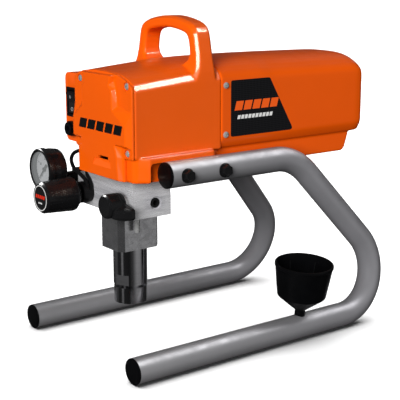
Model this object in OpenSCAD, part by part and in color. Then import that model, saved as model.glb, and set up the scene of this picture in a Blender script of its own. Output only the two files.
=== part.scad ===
// Electric airless paint sprayer on a two-loop tube stand.
// Millimetres. X runs across the machine, Y from the pump end to the motor end, Z up.
// Lengths called "station" are measured back from the front tips of the feet.
// The origin lies on the floor, under the middle of the whole machine.

/* [Stand] */
// Outer diameter of the stand tube
tube_d = 32; // [28:1:36]
// Wall thickness of the stand tube
tube_wall = 2; // [1.5:0.5:3]
// Distance between the two feet, centre to centre
foot_spacing = 241; // [236:1:250]
// Distance between the two rails that carry the body, centre to centre
rail_spacing = 163.4; // [162:0.2:166]
// Height of the rails above the floor
rail_z = 231; // [230:0.5:232]
// Straight length of each foot before its rear bend
foot_len = 333; // [325:1:340]
// Centre-line radius of the rear bend
rear_bend_r = 60; // [56:1:64]
// Centre-line radius of the bend under the body
top_bend_r = 66; // [60:1:70]
// Slope of the strut between the two bends, in degrees
strut_angle = 49.2; // [46:0.2:52]
// Station of the front end of each rail
rail_front = 75; // [72:1:78]

/* [Body] */
// Half the width of the painted body
body_hw = 68; // [66:0.5:70]
// Station of the front cover's face
cover_front = 31; // [28:1:34]
// Station where the front cover meets the drive housing
cover_seam = 41; // [40:1:42]
// Station where the drive housing meets the rear cover
rear_seam = 168; // [164:1:172]
// Station of the rear cover's end
rear_end = 413; // [405:1:420]
// Height of the ledge along the body's sides
ledge_z = 251; // [249:1:253]
// Height of the body's underside
belly_z = 222; // [222:0.5:224]
// Thickness of the cast and moulded shells
shell = 4; // [3:0.5:5]
// Station of the carrying handle's front face
handle_front = 133; // [130:1:136]
// Thickness of the carrying handle, front to back
handle_t = 26; // [22:1:28]

/* [Drive] */
// Height of the crankshaft
crank_z = 285; // [284:0.5:286]
// Height of the motor shaft
motor_z = 300; // [299:0.5:301]
// Crank throw, half the piston stroke
crank_throw = 9; // [6:0.5:9]
// Teeth on each pinion
pinion_teeth = 14; // [14:1:15]
// Teeth on the idler's large gear
idler_teeth = 42; // [40:1:44]
// Teeth on the crank gear
crank_teeth = 48; // [46:1:50]
// Outer radius of the motor's case
motor_r = 46; // [42:1:46]

/* [Pump] */
// Station of the pump's centre line
pump_y = 76; // [75:1:77]
// Radius of the piston rod
rod_r = 9; // [8:0.5:9]
// Radius of the pump cylinder's bore
bore_r = 13; // [12.5:0.5:13]
// Outer radius of the pump cylinder
cylinder_r = 21.5; // [20:0.5:22]
// Height of the suction inlet above the floor
inlet_z = 57; // [56:1:58]
// Height of the manifold's underside
manifold_z = 174; // [174:0.5:175]

/* [Controls] */
// Radius of the pressure control knob's front
knob_r = 19.5; // [18:0.5:20]
// Radius of the pressure gauge
gauge_r = 27.5; // [25:0.5:27.5]
// Radius of the drain valve's handle
valve_r = 15; // [13:0.5:15]
// Lean of the drip cup, outwards, in degrees
cup_lean = 5.5; // [0:0.5:8]

/* [Hidden] */
$fn = 48;

paint = [0.90, 0.34, 0.08];
tube_grey = [0.62, 0.63, 0.64];
black = [0.08, 0.08, 0.09];
steel = [0.55, 0.56, 0.58];
bright = [0.78, 0.79, 0.80];
brass = [0.78, 0.62, 0.30];
copper = [0.72, 0.40, 0.22];
running = 0.05;            // radial clearance of a running fit
tube_r = tube_d / 2;

// drip cup, along its own leaning axis
cup_y = 257;
cup_rim_r = 37.8;
cup_wall_r = 31.3;
cup_spigot_r = 6.8;
cup_cone_z = 7;
cup_wall_z = 27;
cup_h = 71;

// ends of the machine: the pressure knob's face, the rear cover, the cup's rim and the left foot
knob_face = -20;
mid_y = (knob_face + rear_end) / 2;
mid_x = (cup_h * sin(cup_lean) + cup_rim_r * cos(cup_lean) - tube_r) / 2;

// stand: the loop lies in a plane that leans inwards
lean_x = (foot_spacing - rail_spacing) / 2;
rail_rise = rail_z - tube_r;
loop_lean = atan2(lean_x, rail_rise);
loop_h = norm([lean_x, rail_rise]);
turn_1 = 180 - strut_angle;
bend1_y = foot_len + rear_bend_r * sin(turn_1);
bend1_v = rear_bend_r * (1 - cos(turn_1));
bend2_v = loop_h - top_bend_r * (1 + cos(turn_1));
strut_len = (bend2_v - bend1_v) / sin(turn_1);
bend2_y = bend1_y + strut_len * cos(turn_1);
rail_back = bend2_y - top_bend_r * sin(turn_1);
bolt_stations = [95, 151];
bolt_shank_r = 4;
spot_face_x = rail_spacing / 2 + tube_r - 1.2;

// body
cover_t = 3;
skirt_hw = 60;
skirt_z = belly_z + 1.5;
floor_z = belly_z + 10;
bulk_front = 93;
bulk_back = 107;
plate_front = 138;
plate_back = 148;
boss_hw = 75;
front_screws = [[56.5, 257], [56.5, 336], [-47.5, 337]];
rear_screw_zs = [268, 329];
rear_screw_y = rear_seam + 7;
post_x = 54;
post_zs = [268, 328];

// gear train, module 1
idler_to_crank = (pinion_teeth + crank_teeth) / 2;
idler_to_motor = (pinion_teeth + idler_teeth) / 2;
axes_gap = motor_z - crank_z;
idler_dz = (idler_to_crank ^ 2 - idler_to_motor ^ 2 + axes_gap ^ 2) / (2 * axes_gap);
idler_x = sqrt(idler_to_crank ^ 2 - idler_dz ^ 2);
idler_z = crank_z + idler_dz;
crank_gear_y = [110, 120];
idler_gear_y = [124, 132];
shaft_r = 4;
crank_r = 7;
roller_r = 8;
window_hw = crank_throw + roller_r + 0.5;
window_hh = 2 * crank_throw + roller_r + 0.5;
yoke_y = [70, 82];
yoke_bottom = crank_z - window_hh - 9;

// motor
motor_back = 288;
bell_back = 298;
fan_y = [302, 318];
board_y = 350;

// fluid section
manifold_x = [-80, 50];
manifold_y = [50, 104];
block_hx = 24.7;
block_hy = 29.8;
block_chamfer = 6.6;
block_z = 128;
throat_z = 190;
groove_z = 77;
throat_r = 14;
seat_top = inlet_z + 17;
inlet_ball_r = 7;
inlet_seat_r = 5;
inlet_ball_z = seat_top + sqrt(inlet_ball_r ^ 2 - inlet_seat_r ^ 2) + 0.3;
outlet_seat_z = 107;
outlet_ball_r = 5;
outlet_seat_r = 3.5;
outlet_ball_z = outlet_seat_z + sqrt(outlet_ball_r ^ 2 - outlet_seat_r ^ 2) + 0.3;
knob_axis = [-54, 192];
valve_axis = [30, 191];
gauge_axis = [-96.5, 218];
elbow = [-95, 64, 205];
plug_at = [82, 191];
filter_at = [84, 190];
hose_at = [-55, 190];
drain_at = [32, 66];
drain_plug_r = 3.4;
drain_way_r = 1.6;
manifold_bolt_at = [[42, 57], [42, 98], [-40, 57], [-40, 98]];

// switch box on the body's left side
box_x = [-94, -61];
box_y = [43, 90];
box_z = [254, 341];
switch_at = [-76, 304];
gland_at = [-74, 271];
rocker_pivot = [46, 304];

// routes of the two held cables, as stations
control_route = [[-44, 43, 200], [-46, 43, 204], [-51, 43, 208.5], [-59, 43, 212], [-68, 43, 215],
    [-77, 43, 218.5], [-83.5, 43.5, 224], [-85.5, 44, 230.5], [-82, 45.5, 237], [-75, 48, 241],
    [-68, 50, 242.5], [-60, 51, 243]];
sensor_route = [[-41, 46, 196], [-42, 46.5, 203], [-47, 47, 209], [-54, 48, 213.5],
    [-60, 50.5, 216.5], [-63, 54, 218.5], [-64, 57, 220.5], [-64, 58.5, 224]];

// ---------- helpers ----------

// moves a drawing made in stations to the machine's own frame
module stationed() translate([-mid_x, -mid_y, 0]) children();

// extrudes an outline drawn in (x, z) from station y0 to y1
module along_y(y0, y1) translate([0, y1, 0]) rotate([90, 0, 0]) linear_extrude(height = y1 - y0) children();

// extrudes an outline drawn in (y, z) from x0 to x1
module along_x(x0, x1) translate([x0, 0, 0]) rotate([90, 0, 90]) linear_extrude(height = x1 - x0) children();

// round bar along Y through (x, z)
module bar_y(x, z, y0, y1, r) along_y(y0, y1) translate([x, z]) circle(r);

// round bar along X through (y, z)
module bar_x(y, z, x0, x1, r) along_x(x0, x1) translate([y, z]) circle(r);

// round bar along Z through (x, y)
module bar_z(x, y, z0, z1, r) translate([x, y, z0]) cylinder(h = z1 - z0, r = r);

module hexagon(across_flats) circle(r = across_flats / sqrt(3), $fn = 6);

// half outline mirrored to a full one, walked round once
function mirrored(half) = concat(half, [for (i = [len(half) - 1 : -1 : 0]) [-half[i][0], half[i][1]]]);

function arc(c, r, a0, a1, n) = [for (i = [0 : n]) c + r * [cos(a0 + (a1 - a0) * i / n), sin(a0 + (a1 - a0) * i / n)]];

// cross-section of the body: straight sides, soft shoulders and a crowned top
function body_section(hw, base, edge, crown) = mirrored([[hw, base], [hw, edge],
    [hw - 2, edge + 0.28 * (crown - edge)], [hw - 8, edge + 0.45 * (crown - edge)],
    [hw - 28, edge + 0.88 * (crown - edge)], [hw - 52, crown]]);

module section_slab(y, hw, base, edge, crown) along_y(y, y + 0.02) polygon(body_section(hw, base, edge, crown));

// involute spur gear of module 1 drawn flat, its first tooth centred on +X
pressure_angle = 20;
backlash = 0.12;
function inv(a) = tan(a) * 180 / PI - a;
function tooth_half(teeth, r) =
    let (base = teeth / 2 * cos(pressure_angle), a = r > base ? acos(base / r) : 0)
    90 / teeth + inv(pressure_angle) - inv(a) - backlash * 180 / (PI * teeth);
module spur(teeth) {
    root = teeth / 2 - 1.3;
    tip = teeth / 2 + 0.92;
    flank = [for (i = [0 : 4]) max(root, teeth / 2 * cos(pressure_angle)) * (1 - i / 4) + tip * i / 4];
    polygon([for (k = [0 : teeth - 1]) let (c = 360 * k / teeth) each concat(
        [root * [cos(c - tooth_half(teeth, 0)), sin(c - tooth_half(teeth, 0))]],
        [for (r = flank) r * [cos(c - tooth_half(teeth, r)), sin(c - tooth_half(teeth, r))]],
        [for (i = [4 : -1 : 0]) flank[i] * [cos(c + tooth_half(teeth, flank[i])), sin(c + tooth_half(teeth, flank[i]))]],
        [root * [cos(c + tooth_half(teeth, 0)), sin(c + tooth_half(teeth, 0))]])]);
}

// round tube swept along a smooth curve through a route's points
function spline_at(p, i, t) =
    let (a = p[max(i - 1, 0)], b = p[i], c = p[i + 1], d = p[min(i + 2, len(p) - 1)])
    0.5 * (2 * b + (c - a) * t + (2 * a - 5 * b + 4 * c - d) * t ^ 2 + (3 * b - a - 3 * c + d) * t ^ 3);
function smooth(p, steps) = concat([for (i = [0 : len(p) - 2], s = [0 : steps - 1]) spline_at(p, i, s / steps)],
    [p[len(p) - 1]]);
function unit(v) = v / norm(v);
module cable(route, r, sides = 8) {
    path = smooth(route, 2);
    last = len(path) - 1;
    ref = [0, 1, 0];
    rings = [for (i = [0 : last])
        let (t = unit(path[min(i + 1, last)] - path[max(i - 1, 0)]), u = unit(cross(ref, t)), w = cross(t, u))
        [for (k = [0 : sides - 1]) path[i] + r * (cos(360 * k / sides) * u + sin(360 * k / sides) * w)]];
    polyhedron(points = [for (ring = rings) each ring],
        faces = concat([[for (k = [sides - 1 : -1 : 0]) k]],
            [[for (k = [0 : sides - 1]) last * sides + k]],
            [for (i = [0 : last - 1], k = [0 : sides - 1]) let (n = (k + 1) % sides)
                [i * sides + k, i * sides + n, (i + 1) * sides + n, (i + 1) * sides + k]]));
}

// ---------- stand ----------

// one bent tube in its own upright plane, foot along the floor and rail on top: each ring is
// the middle of a section and the angle of its outward side; reach lengthens both ends
function loop_rings(reach) = concat([[[-reach, 0], -90]],
    [for (i = [0 : 12]) let (a = turn_1 * i / 12 - 90)
        [[foot_len, rear_bend_r] + rear_bend_r * [cos(a), sin(a)], a]],
    [for (i = [0 : 6]) let (a = turn_1 - 90 + strut_angle * i / 6)
        [[rail_back, loop_h - top_bend_r] + top_bend_r * [cos(a), sin(a)], a]],
    [[[rail_front - reach, loop_h], 90]]);
module loop_solid(r, reach = 0) {
    sides = 32;
    rings = loop_rings(reach);
    last = len(rings) - 1;
    polyhedron(points = [for (ring = rings, k = [0 : sides - 1]) let (t = 360 * k / sides)
            [r * cos(t), ring[0][0] + r * sin(t) * cos(ring[1]), ring[0][1] + r * sin(t) * sin(ring[1])]],
        faces = concat([[for (k = [0 : sides - 1]) k]],
            [[for (k = [sides - 1 : -1 : 0]) last * sides + k]],
            [for (i = [0 : last - 1], k = [0 : sides - 1]) let (n = (k + 1) % sides)
                [i * sides + k, (i + 1) * sides + k, (i + 1) * sides + n, i * sides + n]]));
}

module cup_placed() translate([foot_spacing / 2, cup_y, tube_d]) rotate([0, cup_lean, 0]) children();

module side_frame(side) stationed() color(tube_grey) difference() {
    translate([side * foot_spacing / 2, 0, tube_r]) rotate([0, -side * loop_lean, 0]) difference() {
        loop_solid(tube_r);
        loop_solid(tube_r - tube_wall, 1);
    }
    for (y = bolt_stations) translate([0, y, rail_z]) rotate([0, 0, side > 0 ? 0 : 180]) {
        bar_x(0, 0, 60, 110, bolt_shank_r + running);
        bar_x(0, 0, spot_face_x, 110, 9.4);
    }
    if (side > 0) cup_placed() translate([0, 0, -12]) cylinder(h = 14, r = cup_spigot_r + 0.3);
}

module end_cap(x, z, y) {
    bar_y(x, z, y - 2, y, tube_r);
    bar_y(x, z, y - 0.5, y + 14, tube_r - tube_wall - 0.15);
}

module tube_end_caps() stationed() color(black) for (side = [-1, 1]) {
    end_cap(side * foot_spacing / 2, tube_r, 0);
    end_cap(side * rail_spacing / 2, rail_z, rail_front);
}

module frame_bolts() stationed() color(black) for (side = [0, 180], y = bolt_stations)
    translate([0, y, rail_z]) rotate([0, 0, side]) {
        bar_x(0, 0, 54, spot_face_x + 0.5, bolt_shank_r);
        bar_x(0, 0, spot_face_x, spot_face_x + 1.8, 8.9);
        along_x(spot_face_x + 1.5, spot_face_x + 8) hexagon(13);
    }

// ---------- body shells ----------

// the painted casting's outside, or its hollow when inset
module housing_form(inset) {
    over = inset > 0 ? 1 : 0;
    base = ledge_z + inset * 1.5;
    hull() {
        section_slab(cover_seam - over, body_hw - inset, base, 332, 350 - inset);
        section_slab(handle_front, body_hw - inset, base, 339, 358 - inset);
        section_slab(rear_seam + (inset > 0 ? 1 : -0.02), body_hw - inset, base, 336, 359.5 - inset);
    }
}

handle_top = 412;
handle_crown_r = 153;
module handle_outline() polygon(mirrored(concat([[body_hw, 330], [body_hw - 0.5, 342], [59.5, 392]],
    arc([49, 391.5], 10, 3, 68, 5),
    [for (x = [40, 28, 14]) [x, handle_top - handle_crown_r + sqrt(handle_crown_r ^ 2 - x ^ 2)]])));
module handle_hole() polygon(mirrored(concat(arc([40, 366.5], 8, -72, -5, 4),
    arc([36.5, 384.5], 8.5, 5, 70, 4), [[22, 396], [8, 397.6]])));

// lower part of the casting, wider behind the rounded noses that cover the rails' ends
boss_plan = [[62, cover_seam], [67, 47], [boss_hw, 57], [boss_hw, 154], [62, 154], [62, rear_seam]];
module saddle_boss() translate([0, 0, belly_z]) linear_extrude(height = ledge_z + 0.5 - belly_z)
    polygon(mirrored(boss_plan));

module drive_housing() stationed() color(paint) difference() {
    union() {
        difference() {
            union() {
                housing_form(0);
                saddle_boss();
            }
            housing_form(shell);
            along_y(cover_seam - 1, rear_seam + 1) translate([-48, floor_z])
                square([96, ledge_z + 14 - floor_z]);
        }
        along_y(bulk_front, bulk_back) {
            polygon(body_section(body_hw - 2, ledge_z + 2, 335, 352.5));
            translate([-49, floor_z - 1]) square([98, 30]);
        }
        along_y(handle_front, handle_front + handle_t) difference() {
            handle_outline();
            handle_hole();
            polygon(body_section(body_hw - 2, 300, 337, 355.5));
        }
        for (x = [-post_x, post_x], z = post_zs) bar_y(x, z, bulk_back - 1, plate_front, 6);
        for (p = front_screws) bar_y(p[0], p[1], cover_seam, cover_seam + 14, 4.5);
    }
    // rail saddles and the frame bolts' holes
    for (side = [-1, 1]) bar_y(side * rail_spacing / 2, rail_z, 57, rear_seam + 1, tube_r + running);
    for (side = [0, 180], y = bolt_stations) translate([0, y, rail_z]) rotate([0, 0, side])
        bar_x(0, 0, 47, 80, bolt_shank_r + running);
    // pump throat, crank bearing, idler pin and screw holes
    bar_z(0, pump_y, belly_z - 1, floor_z + 1, 18);
    bar_y(0, crank_z, bulk_front - 1, bulk_back + 1, throat_r);
    bar_y(idler_x, idler_z, bulk_back - 8, bulk_back + 1, shaft_r);
    for (x = [-post_x, post_x], z = post_zs) bar_y(x, z, plate_front - 12, plate_front + 1, 2.1);
    for (p = front_screws) bar_y(p[0], p[1], cover_seam - 1, cover_seam + 10, 2.1);
    // the switch box sits in a cut-out of the left wall
    along_y(cover_seam - 1, box_y[1]) box_outline(0);
    for (p = manifold_bolt_at) bar_z(p[0], p[1], belly_z - 1, belly_z + 9, 3 + running);
}

// front cover: a flange on the seam, a raised face and a lower apron
cover_face = mirrored([[45, belly_z + 0.5], [45, 262], [60, 270], [60, 290], [37, 303], [37, 346]]);
cover_flange = [[50, belly_z], [50, ledge_z - 1], [body_hw, ledge_z], [body_hw, 332], [66, 337], [60, 340],
    [40, 347.8], [16, 350], [-16, 350], [-40, 347.8], [-55, 341.5], [box_x[1], 338], [box_x[1], box_z[0]],
    [-50, box_z[0] - 1], [-50, belly_z]];
module front_cover() stationed() color(paint) difference() {
    union() {
        along_y(cover_seam - 4, cover_seam) polygon(cover_flange);
        along_y(cover_front, cover_seam - 3) polygon(cover_face);
    }
    along_y(cover_front + cover_t, cover_seam + 1) intersection() {
        translate([-34, floor_z]) square([68, 110]);
        polygon(cover_face);
    }
    for (p = front_screws) {
        bar_y(p[0], p[1], cover_front - 1, cover_seam - 2, 5.2);
        bar_y(p[0], p[1], cover_front, cover_seam + 1, 2.1);
    }
    // finger slot in the apron
    along_y(cover_front - 1, cover_front + cover_t + 1) translate([4, 243]) square([26, 3.6]);
}

module rear_form(inset) {
    hull() {
        section_slab(rear_seam - (inset > 0 ? 1 : 0), body_hw - inset, ledge_z + inset, 336, 359.5 - inset);
        section_slab(rear_end - 24, body_hw - inset, ledge_z + inset, 335, 357 - inset);
        section_slab(rear_end - inset, body_hw - 4 - inset, ledge_z + 6 + inset, 318, 333 - inset);
    }
    along_x(-skirt_hw + inset, skirt_hw - inset) polygon([[rear_seam - (inset > 0 ? 1 : 0), skirt_z + inset],
        [382 - inset, skirt_z + inset], [388 - inset, skirt_z + 5 + inset], [398 - inset, ledge_z + 8],
        [rear_seam - (inset > 0 ? 1 : 0), ledge_z + 8]]);
}

vent_zs = [270, 278, 286, 294, 302, 310];
module rear_cover() stationed() color(paint) difference() {
    union() {
        difference() {
            rear_form(0);
            rear_form(cover_t);
        }
        for (x = [-42, 42], z = [264, 322]) bar_y(x, z, board_y + 2, rear_end - 2, 4);
    }
    for (z = vent_zs, x = [-44, 4]) along_y(rear_end - 8, rear_end + 1) translate([x, z]) square([40, 3.4]);
    for (side = [-1, 1], z = rear_screw_zs)
        bar_x(rear_screw_y, z, side > 0 ? 55 : -80, side > 0 ? 80 : -55, 2.1);
}

// a screw seated on z = 0, its head above
module cover_screw() difference() {
    union() {
        cylinder(h = 2, r = 4);
        translate([0, 0, -6]) cylinder(h = 6.5, r = 2);
    }
    translate([0, 0, 0.8]) linear_extrude(height = 2) hexagon(2.5);
}

module cover_screws() stationed() color(bright) {
    for (p = front_screws) translate([p[0], cover_seam - 2, p[1]]) rotate([90, 0, 0]) cover_screw();
    for (side = [-1, 1], z = rear_screw_zs) translate([side * body_hw, rear_screw_y, z])
        rotate([0, side * 90, 0]) cover_screw();
}

label_outline = [[183, 264.5], [286, 264.5], [244.5, 334.5], [183, 334.5]];
module side_labels() stationed() color(black) for (x = [-body_hw - 0.4, body_hw]) along_x(x, x + 0.4)
    polygon(label_outline);

// ---------- switch box ----------

module box_outline(inset) polygon(concat(
    [[box_x[1], box_z[0] + inset]], arc([box_x[0] + 8, box_z[0] + 8], 8 - inset, -90, -180, 5),
    arc([box_x[0] + 8, box_z[1] - 8], 8 - inset, 180, 90, 5), [[box_x[1], box_z[1] - inset]]));

module switch_box() stationed() color(paint) difference() {
    along_y(box_y[0], box_y[1]) box_outline(0);
    along_y(box_y[0] + 3, box_y[1] - 3) box_outline(3);
    along_y(box_y[0] - 1, box_y[0] + 4) translate(switch_at - [10.5, 16.5]) square([21, 33]);
    bar_y(gland_at[0], gland_at[1], box_y[0] - 1, box_y[0] + 4, 7 + running);
}

module switch_body() stationed() color(black) difference() {
    union() {
        along_y(box_y[0] - 2, box_y[0]) translate(switch_at - [12.5, 18.5]) square([25, 37]);
        along_y(box_y[0] - 1, box_y[0] + 27) translate(switch_at - [10.4, 16.4]) square([20.8, 32.8]);
    }
    along_y(box_y[0] - 3, box_y[0] + 14) translate(switch_at - [8.9, 15]) square([17.8, 30]);
    bar_x(rocker_pivot[0], rocker_pivot[1], switch_at[0] - 11, switch_at[0] + 11, 2 + running);
}

module switch_rocker() stationed() color(black) {
    along_x(switch_at[0] - 8.5, switch_at[0] + 8.5) translate(rocker_pivot) rotate(9)
        polygon([[-6.5, 12.8], [-4, 0], [-6.5, -12.8], [-1, -13.6], [5, -5], [5, 5], [-1, 13.6]]);
    bar_x(rocker_pivot[0], rocker_pivot[1], switch_at[0] - 10.2, switch_at[0] + 10.2, 2);
}

module cord_gland() stationed() color(black) difference() {
    union() {
        along_y(box_y[0] - 7, box_y[0]) translate(gland_at) hexagon(18);
        bar_y(gland_at[0], gland_at[1], box_y[0] - 10, box_y[0] - 6.5, 8);
        bar_y(gland_at[0], gland_at[1], box_y[0] - 1, box_y[0] + 14, 7);
    }
    bar_y(gland_at[0], gland_at[1], box_y[0] - 11, box_y[0] + 15, 4);
}

// ---------- fluid section ----------

module manifold() stationed() color(bright) difference() {
    along_y(manifold_y[0], manifold_y[1]) polygon([[manifold_x[0], manifold_z], [manifold_x[1], manifold_z],
        [manifold_x[1], 198.5], [manifold_x[1] - 4, belly_z], [-60, belly_z], [-64, 213], [manifold_x[0], 213]]);
    bar_z(0, pump_y, manifold_z - 1, throat_z, 20 + running);
    bar_z(0, pump_y, throat_z - 1, belly_z + 1, throat_r + running);
    // filter bore and its way from the pump
    bar_x(filter_at[0], filter_at[1], manifold_x[0] - 1, -30, 9);
    bar_x(filter_at[0], throat_z - 5, -31, -15, 3);
    bar_y(valve_axis[0], valve_axis[1], manifold_y[0] - 1, 68, 7 + running);
    bar_y(knob_axis[0], knob_axis[1], manifold_y[0] - 1, 62, 6 + running);
    bar_x(plug_at[0], plug_at[1], 36, 49, 6.2 + running);
    bar_x(plug_at[0], plug_at[1], 47.5, 51, 8.4);
    bar_x(elbow[1], elbow[2], manifold_x[0] - 1, -68, 5 + running);
    bar_y(hose_at[0], hose_at[1], 92, manifold_y[1] + 1, 6 + running);
    // drain hole in the underside and its way from the drain valve
    bar_z(drain_at[0], drain_at[1], manifold_z - 1, manifold_z + 6, drain_plug_r + running);
    bar_z(drain_at[0], drain_at[1], manifold_z + 5, valve_axis[1] - 5, drain_way_r);
    for (p = manifold_bolt_at) {
        bar_z(p[0], p[1], manifold_z - 1, belly_z + 1, 3 + running);
        bar_z(p[0], p[1], manifold_z - 1, manifold_z + 6.5, 5.2);
    }
}

module manifold_bolts() stationed() color(steel) for (p = manifold_bolt_at) difference() {
    union() {
        bar_z(p[0], p[1], manifold_z + 0.5, manifold_z + 6.5, 5);
        bar_z(p[0], p[1], manifold_z + 6, belly_z + 8, 3);
    }
    translate([p[0], p[1], manifold_z]) linear_extrude(height = 3.5) hexagon(5);
}

module manifold_plug() stationed() color(black) difference() {
    bar_x(plug_at[0], plug_at[1], 38, 48.5, 6.2);
    along_x(43, 49) translate(plug_at) hexagon(6);
}

module drain_valve_body() stationed() color(steel) {
    bar_y(valve_axis[0], valve_axis[1], 44, 50, 9);
    bar_y(valve_axis[0], valve_axis[1], 49.5, 66, 7);
    bar_y(valve_axis[0], valve_axis[1], 26, 44.5, 3);
}

module drain_valve_handle() stationed() color(black) difference() {
    union() {
        bar_y(valve_axis[0], valve_axis[1], 20, 36, valve_r);
        bar_y(valve_axis[0], valve_axis[1], 35.5, 43.5, valve_r - 2.5);
        // the lever sweeps out below and to the near side
        along_y(26, 43.5) translate(valve_axis) polygon([[2, -14], [9, -18.5], [17, -16], [17, -8], [13, 4]]);
        along_y(34, 43.5) translate(valve_axis)
            polygon([[9, -18.5], [32, -13], [33.5, -11], [33, -1], [30, 0.5], [12, 4]]);
    }
    bar_y(valve_axis[0], valve_axis[1], 25, 45, 3 + running);
}

module drain_outlet() stationed() color(steel) difference() {
    union() {
        bar_z(drain_at[0], drain_at[1], manifold_z - 8, manifold_z + 6, drain_plug_r);
        for (z = [manifold_z - 21, manifold_z - 16.5, manifold_z - 12]) translate([drain_at[0], drain_at[1], z])
            cylinder(h = 4.5, r1 = 2.9, r2 = 3.8);
    }
    bar_z(drain_at[0], drain_at[1], manifold_z - 22, manifold_z + 7, drain_way_r);
}

module hose_outlet() stationed() color(brass) difference() {
    union() {
        bar_y(hose_at[0], hose_at[1], 98, 104, 6);
        along_y(104, 112) translate(hose_at) hexagon(17);
        bar_y(hose_at[0], hose_at[1], 112, 128, 7.9);
    }
    bar_y(hose_at[0], hose_at[1], 97, 129, 3);
}

module filter_element() stationed() color(bright) difference() {
    bar_x(filter_at[0], filter_at[1], -72, -32, 7);
    bar_x(filter_at[0], filter_at[1], -69, -31, 4.5);
}

module filter_cap() stationed() color(steel) {
    bar_x(filter_at[0], filter_at[1], -80, -72, 9);
    along_x(-88, -80) translate(filter_at) hexagon(22);
}

module pressure_switch() stationed() color(black) difference() {
    union() {
        bar_y(knob_axis[0], knob_axis[1], 49.5, 61, 6);
        bar_y(knob_axis[0], knob_axis[1], 36, 50, 13.5);
        bar_y(knob_axis[0], knob_axis[1], 22, 36.5, 8);
    }
    bar_y(knob_axis[0], knob_axis[1], 20, 34, 3 + running);
}

module pressure_spindle() stationed() color(steel) bar_y(knob_axis[0], knob_axis[1], -8, 33, 3);

module pressure_knob() stationed() color(black) difference() {
    translate([knob_axis[0], 0, knob_axis[1]]) rotate([-90, 0, 0]) union() {
        translate([0, 0, knob_face]) cylinder(h = 3.05, r1 = knob_r - 3, r2 = knob_r);
        translate([0, 0, knob_face + 3]) cylinder(h = 41.05, r1 = knob_r, r2 = knob_r + 2.5);
        translate([0, 0, 24]) cylinder(h = 8, r1 = knob_r + 2.5, r2 = 14);
    }
    bar_y(knob_axis[0], knob_axis[1], -8, 20, 3);
    bar_y(knob_axis[0], knob_axis[1], 14, 34, 10);
}

module gauge_adapter() stationed() color(black) difference() {
    union() {
        translate(elbow - [9, 9, 9]) cube(18);
        along_x(elbow[0] + 8.5, manifold_x[0]) translate([elbow[1], elbow[2]]) hexagon(14);
        bar_x(elbow[1], elbow[2], manifold_x[0] - 0.5, -69, 5);
    }
    bar_x(elbow[1], elbow[2], elbow[0], -68, 2);
    bar_y(elbow[0], elbow[2], elbow[1] - 10, elbow[1], 4.5);
}

module gauge_case() stationed() color(black) difference() {
    union() {
        bar_y(gauge_axis[0], gauge_axis[1], 3, 12, gauge_r);
        bar_y(gauge_axis[0], gauge_axis[1], 11.5, 31, gauge_r - 1.5);
        bar_y(elbow[0], elbow[2], 30.5, elbow[1] - 9, 6.5);
        bar_y(elbow[0], elbow[2], elbow[1] - 9.5, elbow[1] - 3, 4.5);
    }
    bar_y(gauge_axis[0], gauge_axis[1], 2, 26, gauge_r - 4.5);
}

module gauge_dial() stationed() color([0.93, 0.93, 0.91]) difference() {
    bar_y(gauge_axis[0], gauge_axis[1], 12, 26, gauge_r - 4.5);
    bar_y(gauge_axis[0], gauge_axis[1], 13, 27, gauge_r - 6);
    bar_y(gauge_axis[0], gauge_axis[1], 11, 14, 1.2 + running);
}

// needle at its zero stop, down and to the left
module gauge_needle() stationed() color(black) {
    bar_y(gauge_axis[0], gauge_axis[1], 8, 16, 1.2);
    bar_y(gauge_axis[0], gauge_axis[1], 9.2, 10.6, 3);
    along_y(9.4, 10.4) translate(gauge_axis) rotate(225)
        polygon([[-8, -1.6], [-8, 1.6], [0, 1.2], [17, 0.3], [17, -0.3], [0, -1.2]]);
}

module gauge_lens() stationed() color([0.85, 0.9, 0.92, 0.4]) bar_y(gauge_axis[0], gauge_axis[1], 4, 6, gauge_r - 4.5);

module control_cable() stationed() color(black) cable(control_route, 2.4);
module sensor_cable() stationed() color(black) cable(sensor_route, 2);

module pump_block() stationed() color(steel) difference() {
    union() {
        translate([0, pump_y, block_z]) linear_extrude(height = manifold_z - block_z) polygon(mirrored([
            [block_hx - block_chamfer, -block_hy], [block_hx, block_chamfer - block_hy],
            [block_hx, block_hy - block_chamfer], [block_hx - block_chamfer, block_hy]]));
        bar_z(0, pump_y, manifold_z - 1, throat_z - 0.1, 20);
    }
    bar_z(0, pump_y, block_z - 1, 141, 16 + running);
    bar_z(0, pump_y, 140, throat_z + 1, throat_r);
}

flat_turn = 26;
module pump_cylinder() stationed() color(steel) translate([0, pump_y, 0]) difference() {
    union() {
        bar_z(0, 0, groove_z + 3.5, block_z, cylinder_r);
        bar_z(0, 0, block_z - 0.5, 140, 16);
    }
    bar_z(0, 0, groove_z, 141, bore_r + running);
    bar_z(0, 0, groove_z, 93, 16 + running);
    for (turn = [0, 180]) rotate(flat_turn + turn) translate([-15, -cylinder_r - 3, groove_z])
        cube([30, 5, 17]);
}

module inlet_valve_body() stationed() color(steel) translate([0, pump_y, 0]) difference() {
    union() {
        bar_z(0, 0, inlet_z, groove_z, cylinder_r - 0.5);
        bar_z(0, 0, groove_z - 0.5, 92.4, 16);
    }
    bar_z(0, 0, inlet_z - 1, inlet_z + 13, 11);
    bar_z(0, 0, inlet_z + 12, inlet_z + 17, 9);
    bar_z(0, 0, inlet_z + 16, 94, 9);
}

module inlet_seat() stationed() color(bright) translate([0, pump_y, 0]) difference() {
    bar_z(0, 0, seat_top - 4, seat_top, 9);
    bar_z(0, 0, seat_top - 5, seat_top + 1, inlet_seat_r);
}
module inlet_ball() stationed() color(bright) translate([0, pump_y, inlet_ball_z]) sphere(inlet_ball_r);

module throat_packings() stationed() color([0.85, 0.82, 0.74]) translate([0, pump_y, 0]) difference() {
    bar_z(0, 0, throat_z, 208, throat_r);
    bar_z(0, 0, throat_z - 1, 209, rod_r + running);
}

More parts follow.
